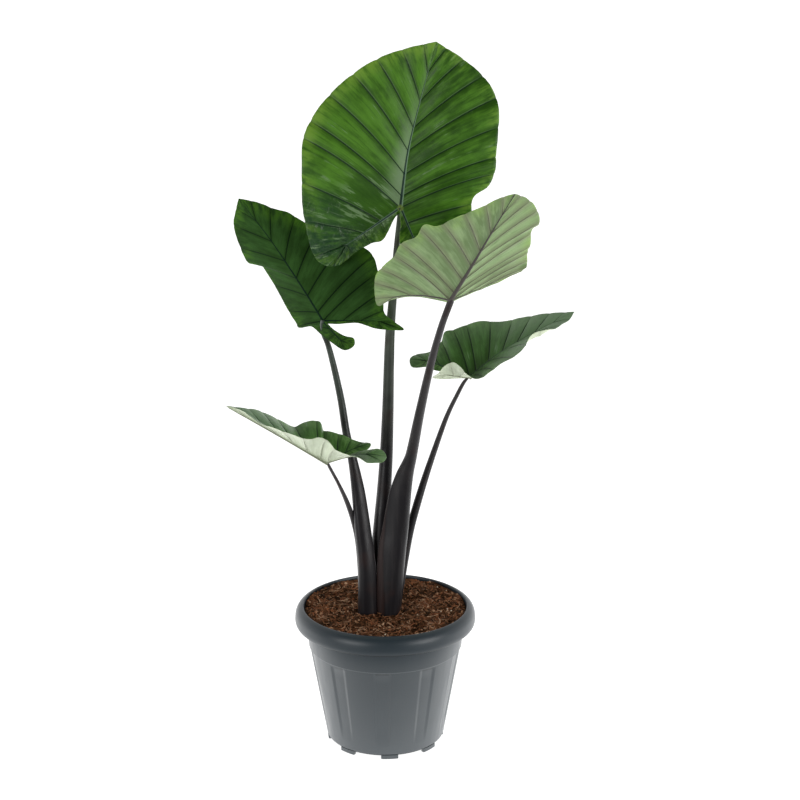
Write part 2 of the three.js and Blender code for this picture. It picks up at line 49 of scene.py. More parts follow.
# Sizes are in millimetres, turns in degrees, and points of a profile are radius and height.
FOOT_HEIGHT = 4
SHELL = 3
INSIDE_SHIFT = 0.5
FLOOR_RADIUS = 76
UNDERSIDE_RING = 46
HEEL_HEIGHT = 10.5
HEEL_RADIUS = 82.6
HEEL_CURVE = [[80.4, 5.6], [82.2, 8.4]]
STEP_HEIGHT = 138.5
STEP_RADIUS = 105
STEP_LIP = [[105.5, 138.7], [106.2, 139.3]]
BAND_BOTTOM = [106.4, 140.5]
BAND_TOP = [108.4, 166.5]
COLLAR_HOLLOW = [[111, 176], [116, 191.5], [122, 181.5], [120.6, 174.4], [111.8, 171.4]]
COLLAR_OUTSIDE = [[111.8, 168.6], [119, 169], [123.4, 171.4], [124.9, 175.6], [124.9, 181],
                  [123.6, 187.8], [119.8, 193.4], [114, 196], [112.8, 194.4], [112.4, 186],
                  [107.8, 174.6]]
FLUTES = 10
FLUTE_TURN = -2
FLUTE_DEPTH = 1.4
FLUTE_FLOOR = [42, 134]
FLUTE_ENDS = [20, 138]
FLUTE_SIDE = [7.4, 4.2]
FLUTE_COLUMNS = [0, 1.5, 3, 4, 4.2, 4.5, 4.9, 5.3, 5.7, 6.1, 6.5, 6.9, 7.2, 7.4, 7.7, 8.6, 10.5,
                 13, 15.5, 18]
FEET = 8
FOOT_TURN = 4.6
FOOT_ANGLE = 17
FOOT_RADII = [75.5, 81.5]
FOOT_TOP = 6
FOOT_EASE = 0.9
DRAINS = 4
DRAIN_TURN = 30
DRAIN_RADIUS = 5
DRAIN_PLACE = 62
DRAIN_SIDES = 32
SHARP_ANGLE = 38
# Heights over which the wall turns smoother towards the collar and takes a painted shade.
COLLAR_POLISH_AND_SHADE = [130, 175]
# Heights of the pale band painted along the step as a highlight.
STEP_HIGHLIGHT_HEIGHTS = [137.4, 138.2, 139, 139.8]
PLASTIC_DARK = (0.02, 0.029, 0.035, 1)
PLASTIC_LIGHT = (0.026, 0.036, 0.043, 1)
DUST = (0.05, 0.06, 0.065, 1)
COLLAR_PAINTED_SHADE = (0.008, 0.017, 0.024, 1)
# Colour of the painted shade on faces that look down.
SHADED_TONE = (0.008, 0.012, 0.015, 1)
STEP_PAINTED_HIGHLIGHT = (0.07, 0.082, 0.088, 1)


def through(landmarks, shares):
    """Places at the given shares of a smooth curve through the landmarks, each span counting alike."""
    knots = np.array(landmarks, float)
    knots = np.vstack([2 * knots[0] - knots[1], knots, 2 * knots[-1] - knots[-2]])
    spans = len(landmarks) - 1
    where = np.clip(np.asarray(shares, float) * spans, 0, spans - 1e-9)
    span = where.astype(int)
    w = (where - span)[..., None]
    p0, p1, p2, p3 = (knots[span + k] for k in range(4))
    pairs = ((p0, p1), (p1, p2), (p2, p3))
    gaps = [np.sqrt(np.linalg.norm(b - a, axis=-1, keepdims=True)) for a, b in pairs]
    middle = np.where(gaps[1] < 1e-4, 1, gaps[1])
    before = np.where(gaps[0] < 1e-4, middle, gaps[0])
    after = np.where(gaps[2] < 1e-4, middle, gaps[2])
    leave = ((p1 - p0) / before - (p2 - p0) / (before + middle) + (p2 - p1) / middle) * middle
    arrive = ((p2 - p1) / middle - (p3 - p1) / (middle + after) + (p3 - p2) / after) * middle
    square = 3 * (p2 - p1) - 2 * leave - arrive
    cube = 2 * (p1 - p2) + leave + arrive
    return p1 + leave * w + square * w**2 + cube * w**3


def smoothed(landmarks, steps):
    return through(landmarks, np.linspace(0, 1, steps * (len(landmarks) - 1) + 1))


def straight(start, end, steps):
    return np.linspace(start, end, steps, endpoint=False)


def skin(rings):
    """Points and faces of a closed skin over a stack of equal rings, with a flat face at both ends."""
    count = len(rings[0])
    faces = [tuple(range(count))[::-1]]
    for ring in range(len(rings) - 1):
        low = ring * count
        for side in range(count):
            following = (side + 1) % count
            faces.append((low + side, low + following, low + count + following, low + count + side))
    last = (len(rings) - 1) * count
    faces.append(tuple(range(last, last + count)))
    return np.concatenate(rings), faces


def joined(solids):
    """Points and faces of several solids as one list."""
    points, faces = [], []
    for solid_points, solid_faces in solids:
        start = sum(len(p) for p in points)
        points.append(np.asarray(solid_points))
        faces += [tuple(start + k for k in face) for face in solid_faces]
    return np.concatenate(points), faces


def linked(name, data):
    """A new object in the scene."""
    made = bpy.data.objects.new(name, data)
    bpy.context.scene.collection.objects.link(made)
    return made


def turn_outwards(mesh):
    shell = bmesh.new()
    shell.from_mesh(mesh)
    bmesh.ops.recalc_face_normals(shell, faces=shell.faces)
    shell.to_mesh(mesh)
    shell.free()


def shade_smooth(mesh):
    mesh.polygons.foreach_set("use_smooth", [True] * len(mesh.polygons))


def piece(name, points, faces):
    """A new object from points in millimetres, smooth shaded, with its faces turned outwards."""
    mesh = bpy.data.meshes.new(name)
    mesh.from_pydata((np.asarray(points) * MM).tolist(), [], faces)
    turn_outwards(mesh)
    shade_smooth(mesh)
    return linked(name, mesh)


def applied(target):
    """Turns an object and its modifiers into a plain mesh."""
    depsgraph = bpy.context.evaluated_depsgraph_get()
    mesh = bpy.data.meshes.new_from_object(target.evaluated_get(depsgraph), depsgraph=depsgraph)
    target.modifiers.clear()
    target.data = mesh


def feed(node, inputs):
    """Links each named input of a node to an output, or sets it to a value."""
    for name, value in inputs.items():
        if isinstance(value, Output):
            node.id_data.links.new(value.socket, node.inputs[name])
        else:
            node.inputs[name].default_value = value


def add_node(tree, kind, inputs=None, **settings):
    node = tree.nodes.new(kind)
    for name, value in settings.items():
        setattr(node, name, value)
    feed(node, inputs or {})
    return node


def out_of(tree, kind, output, inputs=None, **settings):
    """One output of a new node."""
    return Output(add_node(tree, kind, inputs, **settings).outputs[output])


def outputs_of(node):
    return {socket.name: Output(socket) for socket in node.outputs}


class Output:
    """One output of a node. Values take part in sums like numbers, by way of Math nodes."""

    def __init__(self, socket):
        self.socket = socket
        self.tree = socket.id_data

    def math(self, operation, other=0.0):
        return out_of(self.tree, "ShaderNodeMath", 0, {0: self, 1: other}, operation=operation)

    def vector_math(self, operation, other):
        return out_of(self.tree, "ShaderNodeVectorMath", 0, {0: self, 1: other}, operation=operation)

    def __add__(self, other):
        return self.math("ADD", other)

    def __sub__(self, other):
        return self.math("SUBTRACT", other)

    def __rsub__(self, other):
        return out_of(self.tree, "ShaderNodeMath", 0, {0: other, 1: self}, operation="SUBTRACT")

    def __mul__(self, other):
        return self.math("MULTIPLY", other)

    def __truediv__(self, other):
        return self.math("DIVIDE", other)

    def part(self, axis):
        return out_of(self.tree, "ShaderNodeSeparateXYZ", axis, {"Vector": self})

    def eased(self, start, end, low=0.0, high=1.0):
        """Goes smoothly from low to high while this value goes from start to end."""
        inputs = {"Value": self, "From Min": start, "From Max": end, "To Min": low, "To Max": high}
        return out_of(self.tree, "ShaderNodeMapRange", "Result", inputs, interpolation_type="SMOOTHSTEP")

    def faded(self, start, end):
        return self.eased(start, end, 1.0, 0.0)

    def then(self, kind, inputs=None, output="Geometry", **settings):
        """This geometry after one more node."""
        return out_of(self.tree, kind, output, {"Geometry": self, **(inputs or {})}, **settings)


def mixed(tree, factor, first, second, kind="RGBA"):
    """A mix of two colours, or of two numbers when the kind is FLOAT."""
    first_at, second_at, out_at = {"RGBA": (6, 7, 2), "FLOAT": (2, 3, 0)}[kind]
    inputs = {0: factor, first_at: first, second_at: second}
    return out_of(tree, "ShaderNodeMix", out_at, inputs, data_type=kind)


def layered(tree, colour, layers):
    """The colour once layers lie over it, each given by the share it covers and its own colour."""
    for share, over in layers:
        colour = mixed(tree, share, colour, over)
    return colour


def object_place(tree):
    return out_of(tree, "ShaderNodeTexCoord", "Object")


def noisy(tree, place, scale, detail, **more):
    inputs = {"Vector": place, "Scale": scale, "Detail": detail, **more}
    return out_of(tree, "ShaderNodeTexNoise", "Fac", inputs)


def upright_streaks(tree, across, along, scale, detail):
    """Noise that is drawn out upwards."""
    inputs = {"Vector": object_place(tree), "Scale": (across, across, along)}
    return noisy(tree, out_of(tree, "ShaderNodeMapping", "Vector", inputs), scale, detail)


def bumped(tree, height, strength, distance, **more):
    inputs = {"Height": height, "Strength": strength, "Distance": distance, **more}
    return out_of(tree, "ShaderNodeBump", "Normal", inputs)


def new_material(name):
    """An empty node material, its tree and its Principled shader."""
    material = bpy.data.materials.new(name)
    material.use_nodes = True
    tree = material.node_tree
    return material, tree, tree.nodes["Principled BSDF"]


def node_group(kind, name, inputs):
    """A new node group, and what its named inputs carry."""
    group = bpy.data.node_groups.new(name, kind)
    for label, socket_kind in inputs.items():
        group.interface.new_socket(label, in_out="INPUT", socket_type=f"NodeSocket{socket_kind}")
    return group, outputs_of(group.nodes.new("NodeGroupInput"))


def give_out(group, values, kind="Float"):
    """Gives a node group its named outputs and what each one carries."""
    for name in values:
        group.interface.new_socket(name, in_out="OUTPUT", socket_type=f"NodeSocket{kind}")
    add_node(group, "NodeGroupOutput", values)


def speckle_group():
    """Shared effect: soft cloudy and fine grainy noise over a piece, as two values near 0.5."""
    inputs = {"Cloud scale": "Float", "Grain scale": "Float"}
    group, given = node_group("ShaderNodeTree", "Cloud and grain", inputs)
    place = object_place(group)
    give_out(group, {"Cloud": noisy(group, place, given["Cloud scale"], 3.0),
                     "Grain": noisy(group, place, given["Grain scale"], 2.0)})
    return group


cloud_and_grain = speckle_group()


def clouds(tree, cloud_scale, grain_scale):
    """Cloud and grain outputs of the shared group, placed in a material."""
    sizes = {"Cloud scale": cloud_scale, "Grain scale": grain_scale}
    values = outputs_of(add_node(tree, "ShaderNodeGroup", sizes, node_tree=cloud_and_grain))
    return values["Cloud"], values["Grain"]


def pot_columns():
    """Angles of the wall's columns: close together on the sides of each flute."""
    offsets = [-offset for offset in FLUTE_COLUMNS[-2:0:-1]] + FLUTE_COLUMNS
    middles = [FLUTE_TURN + flute * 360 / FLUTES for flute in range(FLUTES)]
    return np.radians([middle + offset for middle in middles for offset in offsets])


def flute_depths(angles, height):
    """How deep the flutes are at each angle of one level."""
    pitch = 2 * math.pi / FLUTES
    offset = np.abs((angles - math.radians(FLUTE_TURN) + pitch / 2) % pitch - pitch / 2)
    outer, inner = np.radians(FLUTE_SIDE)
    side = np.clip((outer - offset) / (outer - inner), 0, 1)
    end = min(np.interp(height, [FLUTE_ENDS[0], FLUTE_FLOOR[0]], [0, 1]),
              np.interp(height, [FLUTE_FLOOR[1], FLUTE_ENDS[1]], [1, 0]))
    return FLUTE_DEPTH * side * side * (3 - 2 * side) * end


def around(radius, angles, height):
    """Points at these angles round the pot's axis."""
    level = np.full_like(angles, height)
    return np.stack([radius * np.sin(angles), -radius * np.cos(angles), level], axis=1)


def pot_shell():
    def wall(height):
        return [np.interp(height, [HEEL_HEIGHT, STEP_HEIGHT], [HEEL_RADIUS, STEP_RADIUS]), height]

    levels = [HEEL_HEIGHT, FLUTE_ENDS[0], *FLUTE_FLOOR, FLUTE_ENDS[1], STEP_HEIGHT]
    outside = [
        np.array([[UNDERSIDE_RING, FOOT_HEIGHT]]),
        smoothed([[FLOOR_RADIUS, FOOT_HEIGHT], *HEEL_CURVE, wall(HEEL_HEIGHT)], 4)[:-1],
        *[straight(wall(low), wall(high), 7) for low, high in zip(levels, levels[1:])],
        smoothed([wall(STEP_HEIGHT), *STEP_LIP, BAND_BOTTOM], 3)[:-1],
        straight(BAND_BOTTOM, BAND_TOP, 6),
    ]
    inside = [[BAND_TOP[0] - SHELL, BAND_TOP[1] - INSIDE_SHIFT],
              [STEP_RADIUS - SHELL, STEP_HEIGHT - INSIDE_SHIFT],
              [HEEL_RADIUS - SHELL, HEEL_HEIGHT + INSIDE_SHIFT],
              [FLOOR_RADIUS, FOOT_HEIGHT + SHELL]]
    collar = [smoothed([BAND_TOP, *COLLAR_HOLLOW], 4), smoothed(COLLAR_OUTSIDE, 6)]
    profile = np.concatenate([*outside, *collar, inside])
    wall_rows = sum(len(stretch) for stretch in outside)
    angles = pot_columns()
    rings = []
    for row, (radius, height) in enumerate(profile):
        flutes = flute_depths(angles, height) if row < wall_rows else 0
        rings.append(around(radius - flutes, angles, height))
    return skin(rings)


def pot_foot(number):
    """One low foot: an arc of bar with eased edges, sunk into the pot's underside."""
    inner, outer = FOOT_RADII
    section = [[inner + FOOT_EASE, 0], [outer - FOOT_EASE, 0], [outer, FOOT_EASE], [outer, FOOT_TOP],
               [inner, FOOT_TOP], [inner, FOOT_EASE]]
    middle = FOOT_TURN + number * 360 / FEET
    rings = []
    for share in [-1, -0.96, *np.linspace(-0.8, 0.8, 9), 0.96, 1]:
        shrink = FOOT_EASE if abs(share) == 1 else 0
        angle = np.array([math.radians(middle + share * FOOT_ANGLE / 2)])
        ring = [around(np.clip(radius, inner + shrink, outer - shrink), angle, max(height, shrink))[0]
                for radius, height in section]
        rings.append(np.array(ring))
    return skin(rings)


def drain_cutter(number):
    """A short upright bar where one drain hole goes through the pot's floor."""
    angle = np.radians([DRAIN_TURN + number * 360 / DRAINS])
    turns = np.linspace(0, 2 * math.pi, DRAIN_SIDES, endpoint=False)
    circle = np.stack([np.cos(turns), np.sin(turns), np.zeros_like(turns)], axis=1) * DRAIN_RADIUS
    ends = (FOOT_HEIGHT - 2 * SHELL, FOOT_HEIGHT + 2 * SHELL)
    return skin([circle + around(DRAIN_PLACE, angle, end) for end in ends])


def pot_material():
    """Blue-grey plastic with a faint upright drag from the mould and a thin cloudy bloom of dust on its
    wall. It turns smoother towards the collar, where painted shade darkens it. The faces under the
    collar are matt and painted darker as shade, and a painted highlight runs pale along the step."""
    material, tree, shader = new_material("moulded polypropylene")
    cloud, grain = clouds(tree, 9.0, 1500.0)
    drag = upright_streaks(tree, 60.0, 3.0, 2.0, 3.0)
    height = object_place(tree).part("Z")
    polished_and_shaded = height.eased(*(level * MM for level in COLLAR_POLISH_AND_SHADE))
    highlight_start, highlight_full, highlight_ebb, highlight_end = (level * MM for level in STEP_HIGHLIGHT_HEIGHTS)
    underneath = out_of(tree, "ShaderNodeNewGeometry", "Normal").part("Z").faded(-0.7, -0.25)
    step_highlight = height.eased(highlight_start, highlight_full) * height.faded(highlight_ebb, highlight_end)
    plain = mixed(tree, drag, PLASTIC_DARK, PLASTIC_LIGHT)
    grained = drag.eased(0.25, 0.75, 0.4, 0.48)
    feed(shader, {
        "Base Color": layered(tree, plain, (
            (cloud.eased(0.42, 0.7, 0.0, 0.2), DUST),
            # Painted shade that darkens the collar.
            (polished_and_shaded, mixed(tree, 0.7, plain, COLLAR_PAINTED_SHADE)),
            # Painted shade on the faces that look down, under the collar.
            (underneath, SHADED_TONE),
            # Painted highlight along the step.
            (step_highlight * 0.8, STEP_PAINTED_HIGHLIGHT))),
        "Roughness": mixed(tree, polished_and_shaded, grained, 0.43, "FLOAT"),
        "Specular IOR Level": polished_and_shaded.eased(0.0, 1.0, 0.7, 0.45) * (1.0 - underneath * 0.8),
        "Normal": bumped(tree, grain * 0.4 + drag, 0.08, 0.0004)})
    return material


pot = piece("nursery_pot", *pot_shell())
cutter = piece("drain_cutter", *joined([drain_cutter(number) for number in range(DRAINS)]))
drilling = pot.modifiers.new("drains", "BOOLEAN")
drilling.operation = "DIFFERENCE"
drilling.solver = "EXACT"
drilling.object = cutter
applied(pot)
bpy.data.objects.remove(cutter)
pot.data.materials.append(pot_material())
feet = piece("pot_feet", *joined([pot_foot(number) for number in range(FEET)]))
feet.data.materials.append(pot.data.materials[0])
for moulded in (pot, feet):
    shade_smooth(moulded.data)
    moulded.data.set_sharp_from_angle(angle=math.radians(SHARP_ANGLE))
    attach(moulded, "root")
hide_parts("pot")

# Potting mix
# Coir and peat with a little perlite, pressed in by hand nearly up to the rim. Its body is one
# lumpy solid, and short coir fibres, crumbs and white perlite lie loose on top.

# Sizes of the body are in millimetres. A lump is a swell, its rates along X and Y, and a shift, and
# a crumb's swell is a rate and a height.
SOIL_TOP = 192
SOIL_CLEARANCE = 0.6
SOIL_EDGE = 111.6
SOIL_DIP = 3
SOIL_LUMPS = [[0.9, 0.15, -0.12, 2], [0.8, 0.083, 0.071, 0.9], [0.8, 0.083, -0.071, 1.7],
              [0.6, 0.09, 0.21, 1.6]]
SOIL_COLUMNS = 260
SOIL_RINGS = 84
CRUMB_SWELLS = [[0.22, 1.3], [0.55, 0.5]]
WALL_FADE = 8
BODY_SHADE = 0.3
UPWARD = 0.5
FIBRE_BENDS = (0.5, 1.3, 2.6)
BROWN = (0.032, 0.014, 0.005, 1)
RUST = (0.25, 0.125, 0.06, 1)
RUDDY = (0.3, 0.085, 0.035, 1)
TAN = (0.52, 0.33, 0.21, 1)
CREAM = (0.62, 0.55, 0.42, 1)
WHITE = (0.8, 0.76, 0.68, 1)


def soil_height(x, y):
    height = SOIL_TOP - SOIL_DIP * (1 - (x * x + y * y) / SOIL_EDGE**2)
    for swell, along_x, along_y, shift in SOIL_LUMPS:
        height += swell * math.sin(along_x * x + along_y * y + shift)
    return height


def crumbled(x, y, share):
    """Fine roughness of the mix, which dies away at the pot's wall."""
    swell = sum(height * noise.noise((x * rate, y * rate, rate)) for rate, height in CRUMB_SWELLS)
    return swell * min(1, WALL_FADE * (1 - share))


def soil_body():
    """The mix from the pot's floor up, clear of its wall and of its collar's inner lip."""
    clear = SHELL + SOIL_CLEARANCE
    throat, mouth = COLLAR_OUTSIDE[-1], COLLAR_OUTSIDE[-2]
    wall = [[FLOOR_RADIUS - SOIL_CLEARANCE, FOOT_HEIGHT + clear],
            [HEEL_RADIUS - clear, HEEL_HEIGHT + 1.1], [STEP_RADIUS - clear, STEP_HEIGHT - 0.5],
            [BAND_TOP[0] - clear, BAND_TOP[1] - 0.2], [throat[0] - 0.8, throat[1] + 0.2],
            [mouth[0] - 1, mouth[1]]]
    angles = np.linspace(0, 2 * math.pi, SOIL_COLUMNS, endpoint=False)
    rings = [around(radius, angles, height) for radius, height in wall]
    for share in np.linspace(1, 0.004, SOIL_RINGS):
        ring = around(SOIL_EDGE * share, angles, 0)
        ring[:, 2] = [soil_height(x, y) + crumbled(x, y, share) for x, y, _ in ring]
        rings.append(ring)
    return skin(rings)


def store(mesh, name, values, domain="POINT"):
    mesh.attributes.new(name, "FLOAT", domain).data.foreach_set("value", values)


def stored(tree, name):
    """In a material, a value that the mesh stores."""
    return out_of(tree, "ShaderNodeAttribute", "Fac", attribute_name=name)


def mesh_value(tree, name):
    """In a geometry tree, a value that the mesh stores."""
    inputs = {"Name": name}
    return out_of(tree, "GeometryNodeInputNamedAttribute", 0, inputs, data_type="FLOAT")


def mix_material(name, dark, warm, pale, roughness):
    """Fibrous matter whose colour runs from dark over warm to pale by each scrap's own shade."""
    material, tree, shader = new_material(name)
    cloud, grain = clouds(tree, 45.0, 700.0)
    shade = stored(tree, "shade")
    spread = shade + (cloud - 0.5) * 0.8
    hue = (shade * 9.0).math("FRACT")
    ruddy = mixed(tree, 0.6, warm, RUDDY)
    feed(shader, {
        "Base Color": layered(tree, dark, (
            (spread.eased(0.15, 0.62), mixed(tree, hue, warm, ruddy)),
            (spread.eased(0.72, 1.1), pale),
            (grain.eased(0.35, 0.7, 0.0, 0.4), dark))),
        "Roughness": roughness,
        "Specular IOR Level": 0.08,
        "Normal": bumped(tree, grain, 0.5, 0.0006)})
    return material


def grow(target, tree, values):
    """Runs a geometry tree on an object with its inputs set, and keeps the result as a plain mesh."""
    modifier = target.modifiers.new(tree.name, "NODES")
    modifier.node_group = tree
    for item in tree.interface.items_tree:
        if item.in_out == "INPUT" and item.name in values:
            modifier[item.identifier] = values[item.name]
    applied(target)


def vector(tree, x=0.0, y=0.0, z=0.0):
    return out_of(tree, "ShaderNodeCombineXYZ", 0, {"X": x, "Y": y, "Z": z})


def by_chance(tree, low, high, seed, shift):
    """A random vector for each instance. The shift keeps draws that share a seed apart."""
    inputs = {"Min": low, "Max": high, "Seed": seed + shift}
    return out_of(tree, "FunctionNodeRandomValue", "Value", inputs, data_type="FLOAT_VECTOR")


def scatter(tree, given, scrap):
    """Lays scraps over the upward faces of a surface, each turned, sized and shaded by chance."""
    upright = out_of(tree, "GeometryNodeInputNormal", "Normal").part("Z")
    within = mesh_value(tree, "from_axis").math("LESS_THAN", given["Reach"])
    chosen = upright.math("GREATER_THAN", UPWARD) * within
    points = outputs_of(add_node(tree, "GeometryNodeDistributePointsOnFaces", {
        "Mesh": given["Geometry"], "Density": given["Density"] * chosen, "Seed": given["Seed"]}))
    tilt = vector(tree, given["Tilt"], given["Tilt"], math.pi)
    back = tilt.vector_math("MULTIPLY", (-1, -1, -1))
    turned = out_of(tree, "FunctionNodeRotateRotation", "Rotation", {
        "Rotation": points["Rotation"], "Rotate By": by_chance(tree, back, tilt, given["Seed"], 1),
        }, rotation_space="LOCAL")
    laid = out_of(tree, "GeometryNodeInstanceOnPoints", "Instances", {
        "Points": points["Points"], "Instance": scrap, "Pick Instance": True, "Rotation": turned,
        "Scale": by_chance(tree, given["Least"], given["Most"], given["Seed"], 2)})
    shade = out_of(tree, "FunctionNodeRandomValue", 1, {"Seed": given["Seed"] + 3}, data_type="FLOAT")
    shaded = laid.then("GeometryNodeStoreNamedAttribute", {"Name": "shade", "Value": shade},
                       data_type="FLOAT", domain="INSTANCE")
    solid = shaded.then("GeometryNodeRealizeInstances").then("GeometryNodeSetShadeSmooth")
    dressed = solid.then("GeometryNodeSetMaterial", {"Material": given["Material"]})
    give_out(tree, {"Geometry": dressed}, "Geometry")


def scrap_tree(name):
    return node_group("GeometryNodeTree", name, {
        "Geometry": "Geometry", "Density": "Float", "Reach": "Float", "Seed": "Int", "Tilt": "Float",
        "Least": "Vector", "Most": "Vector", "Thickness": "Float", "Material": "Material"})


def fibre_tree():
    """Short curled fibres: three arcs of unit length, bent less and more, as three-sided strands."""
    tree, given = scrap_tree("Loose fibres")
    strand = out_of(tree, "GeometryNodeCurvePrimitiveCircle", "Curve", {
        "Resolution": 3, "Radius": given["Thickness"]})
    choices = tree.nodes.new("GeometryNodeJoinGeometry")
    for sweep in FIBRE_BENDS:
        arc = out_of(tree, "GeometryNodeCurveArc", "Curve", {
            "Resolution": 6, "Radius": 1 / sweep, "Sweep Angle": sweep})
        tube = out_of(tree, "GeometryNodeCurveToMesh", "Mesh", {
            "Curve": arc.then("GeometryNodeTransform", {"Translation": (-1 / sweep, 0, 0)}),
            "Profile Curve": strand, "Fill Caps": True})
        kept = tube.then("GeometryNodeGeometryToInstance", output="Instances")
        feed(choices, {"Geometry": kept})
    scatter(tree, given, Output(choices.outputs["Geometry"]))
    return tree


def crumb_tree():
    """Crumbs: small lumps of uneven size, some flat and some long."""
    tree, given = scrap_tree("Loose crumbs")
    lump = out_of(tree, "GeometryNodeMeshIcoSphere", "Mesh", {
        "Radius": given["Thickness"], "Subdivisions": 1})
    scatter(tree, given, lump.then("GeometryNodeGeometryToInstance", output="Instances"))
    return tree


soil = piece("potting_mix", *soil_body())
store(soil.data, "from_axis", [math.hypot(vertex.co.x, vertex.co.y) for vertex in soil.data.vertices])
store(soil.data, "shade", [BODY_SHADE] * len(soil.data.vertices))
soil.data.materials.append(mix_material("packed coir and peat", BROWN, RUST, TAN, 0.95))
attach(soil, "root")
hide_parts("soil")

# Densities count scraps on a square metre, and sizes are in metres. Thickness is a share of a size.
crumbs = crumb_tree()
LOOSE = {
    "coir_fibres": (fibre_tree(), mix_material("coir fibre", BROWN, RUST, TAN, 0.8), {
        "Density": 52000.0, "Reach": 0.102, "Seed": 11, "Tilt": 0.3, "Thickness": 0.05,
        "Least": (0.009, 0.009, 0.009), "Most": (0.018, 0.018, 0.018)}),
    "peat_crumbs": (crumbs, mix_material("peat crumb", BROWN, RUST, TAN, 0.95), {
        "Density": 32000.0, "Reach": 0.1095, "Seed": 23, "Tilt": 1.2, "Thickness": 0.9,
        "Least": (0.0014, 0.0013, 0.001), "Most": (0.0046, 0.003, 0.0021)}),
    "perlite_specks": (crumbs, mix_material("perlite", TAN, CREAM, WHITE, 0.9), {
        "Density": 1500.0, "Reach": 0.108, "Seed": 37, "Tilt": 1.5, "Thickness": 0.8,
        "Least": (0.001, 0.001, 0.001), "Most": (0.0028, 0.0024, 0.002)}),
}
for name, (tree, material, values) in LOOSE.items():
    loose = linked(name, soil.data.copy())
    grow(loose, tree, {**values, "Material": material})
    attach(loose, "root")

# Leaf stalks
# Five fleshy stalks, near black with a satin skin. Each one widens at its foot into a sheath that
# wraps the younger stalks beside it, and stands in the mix. Its top runs into the blade's midrib.

# A stalk's sections run down from its blade: x, y and z of the middle, its reach to the left and to
# the right, and half its depth, in millimetres. The flap's edge is a height and a share of the reach,
# and only the fore stalk has one.
STALKS = {
    "top": [
        [20, -7, 751, 2.4, 2.4, 2.4], [19, 2, 731, 3.1, 3.1, 3.1], [17, 9, 702, 4.2, 3.3, 3.3],
        [13, 20, 643, 5.8, 4.5, 4.5], [8, 26, 573, 7.5, 5.5, 5.5], [5, 25, 466, 9, 6.9, 6.9],
        [2, 22, 401, 9.6, 8.6, 8.4], [-1, 17, 357, 10.2, 9.5, 9.5], [-7, 6, 288, 11, 11, 10.5],
        [-12, -2, 203, 11, 11, 11], [-13, -2, 148, 9.5, 9.5, 10]],
    "fore": [
        [86, -71, 643, 3.2, 3.2, 3.2], [85, -69, 639, 4.6, 4.6, 4.6], [75, -60, 608, 4.6, 4.6, 4.6],
        [62, -46, 556, 5.2, 5.2, 5.2], [47, -28, 481, 6.4, 6.4, 6.4], [36, -16, 419, 8, 8, 7.5],
        [30, -13, 390, 15, 9, 8], [27, -12, 363, 21, 9, 9], [22, -13, 309, 26, 10, 10],
        [19, -15, 282, 28, 10, 10.5], [13, -18, 226, 24.5, 11, 11], [10, -19, 191, 20.5, 10.5, 11],
        [9, -19, 148, 17, 10, 10]],
    "left": [
        [-82.5, 9, 597.5, 2.64, 2.64, 2.64], [-83, 15, 590, 3.5, 3.5, 3.5],
        [-81, 19, 574, 3.8, 3.8, 3.8],
        [-76, 19, 561, 4, 4, 4], [-60, 14, 491, 5, 5, 5], [-52, 9, 438, 5.3, 5.8, 5.3],
        [-44, 6, 401, 6, 7.4, 6], [-39, 0, 359, 6.6, 12.2, 7], [-33, -9, 307, 8.3, 14.3, 8.3],
        [-28, -16, 255, 9, 15.7, 9], [-28, -19, 193, 9.5, 16.5, 9.5], [-27, -19, 148, 9, 14, 9]],
    "right": [
        [116, 45.5, 511, 2, 2, 2], [109, 45, 504, 2.9, 2.9, 2.9], [97, 42, 482, 3.2, 3.2, 3.2],
        [85, 38, 457, 3.5, 3.5, 3.5], [66, 29, 405, 4.4, 4.4, 4.4], [53, 20, 367, 5.2, 5.2, 5.2],
        [41, 11, 328, 5.8, 5.8, 5.8], [34, 6, 302, 6, 6, 6], [24, -2, 247, 6, 6, 6],
        [17, -5, 199, 6, 6, 6], [15, -5, 148, 5.5, 5.5, 5.5]],
    "low": [
        [-76.5, -45, 416.5, 1.84, 1.84, 1.84], [-73, -40, 407, 2.4, 2.4, 2.4],
        [-62, -25, 379, 2.6, 2.6, 2.6], [-51, -10, 347, 3.5, 3.5, 3.5], [-43, -1, 318, 4, 4, 4],
        [-37, 0, 290, 4.5, 4.5, 4.5], [-33, -3, 247, 5, 5, 5], [-32, -5, 198, 5, 5, 5],
        [-32, -5, 148, 4.5, 4.5, 4.5]],
}
STALK_STEPS = 10
STALK_SIDES = 96
FLAP_EDGE = [[148, -0.5], [210, -0.57], [290, -0.8], [330, -0.95], [354, -1]]
NO_FLAP = -3
FLAP_THICKNESS = 0.08
FLAP_STEP = [-0.03, 0.05]
WING_THINNING = 0.8
INK = (0.0085, 0.0075, 0.009, 1)
MOTTLE = (0.019, 0.01, 0.009, 1)
WRAPPED_TONE = (0.022, 0.012, 0.011, 1)
STREAK_TONE = (0.05, 0.043, 0.042, 1)


def captured(tree, geometry, kind, label, value):
    """The outputs that a geometry has once its points keep this value under a name."""
    node = add_node(tree, "GeometryNodeCaptureAttribute", {"Geometry": geometry}, domain="POINT")
    node.capture_items.new(kind, label)
    feed(node, {label: value})
    return outputs_of(node)


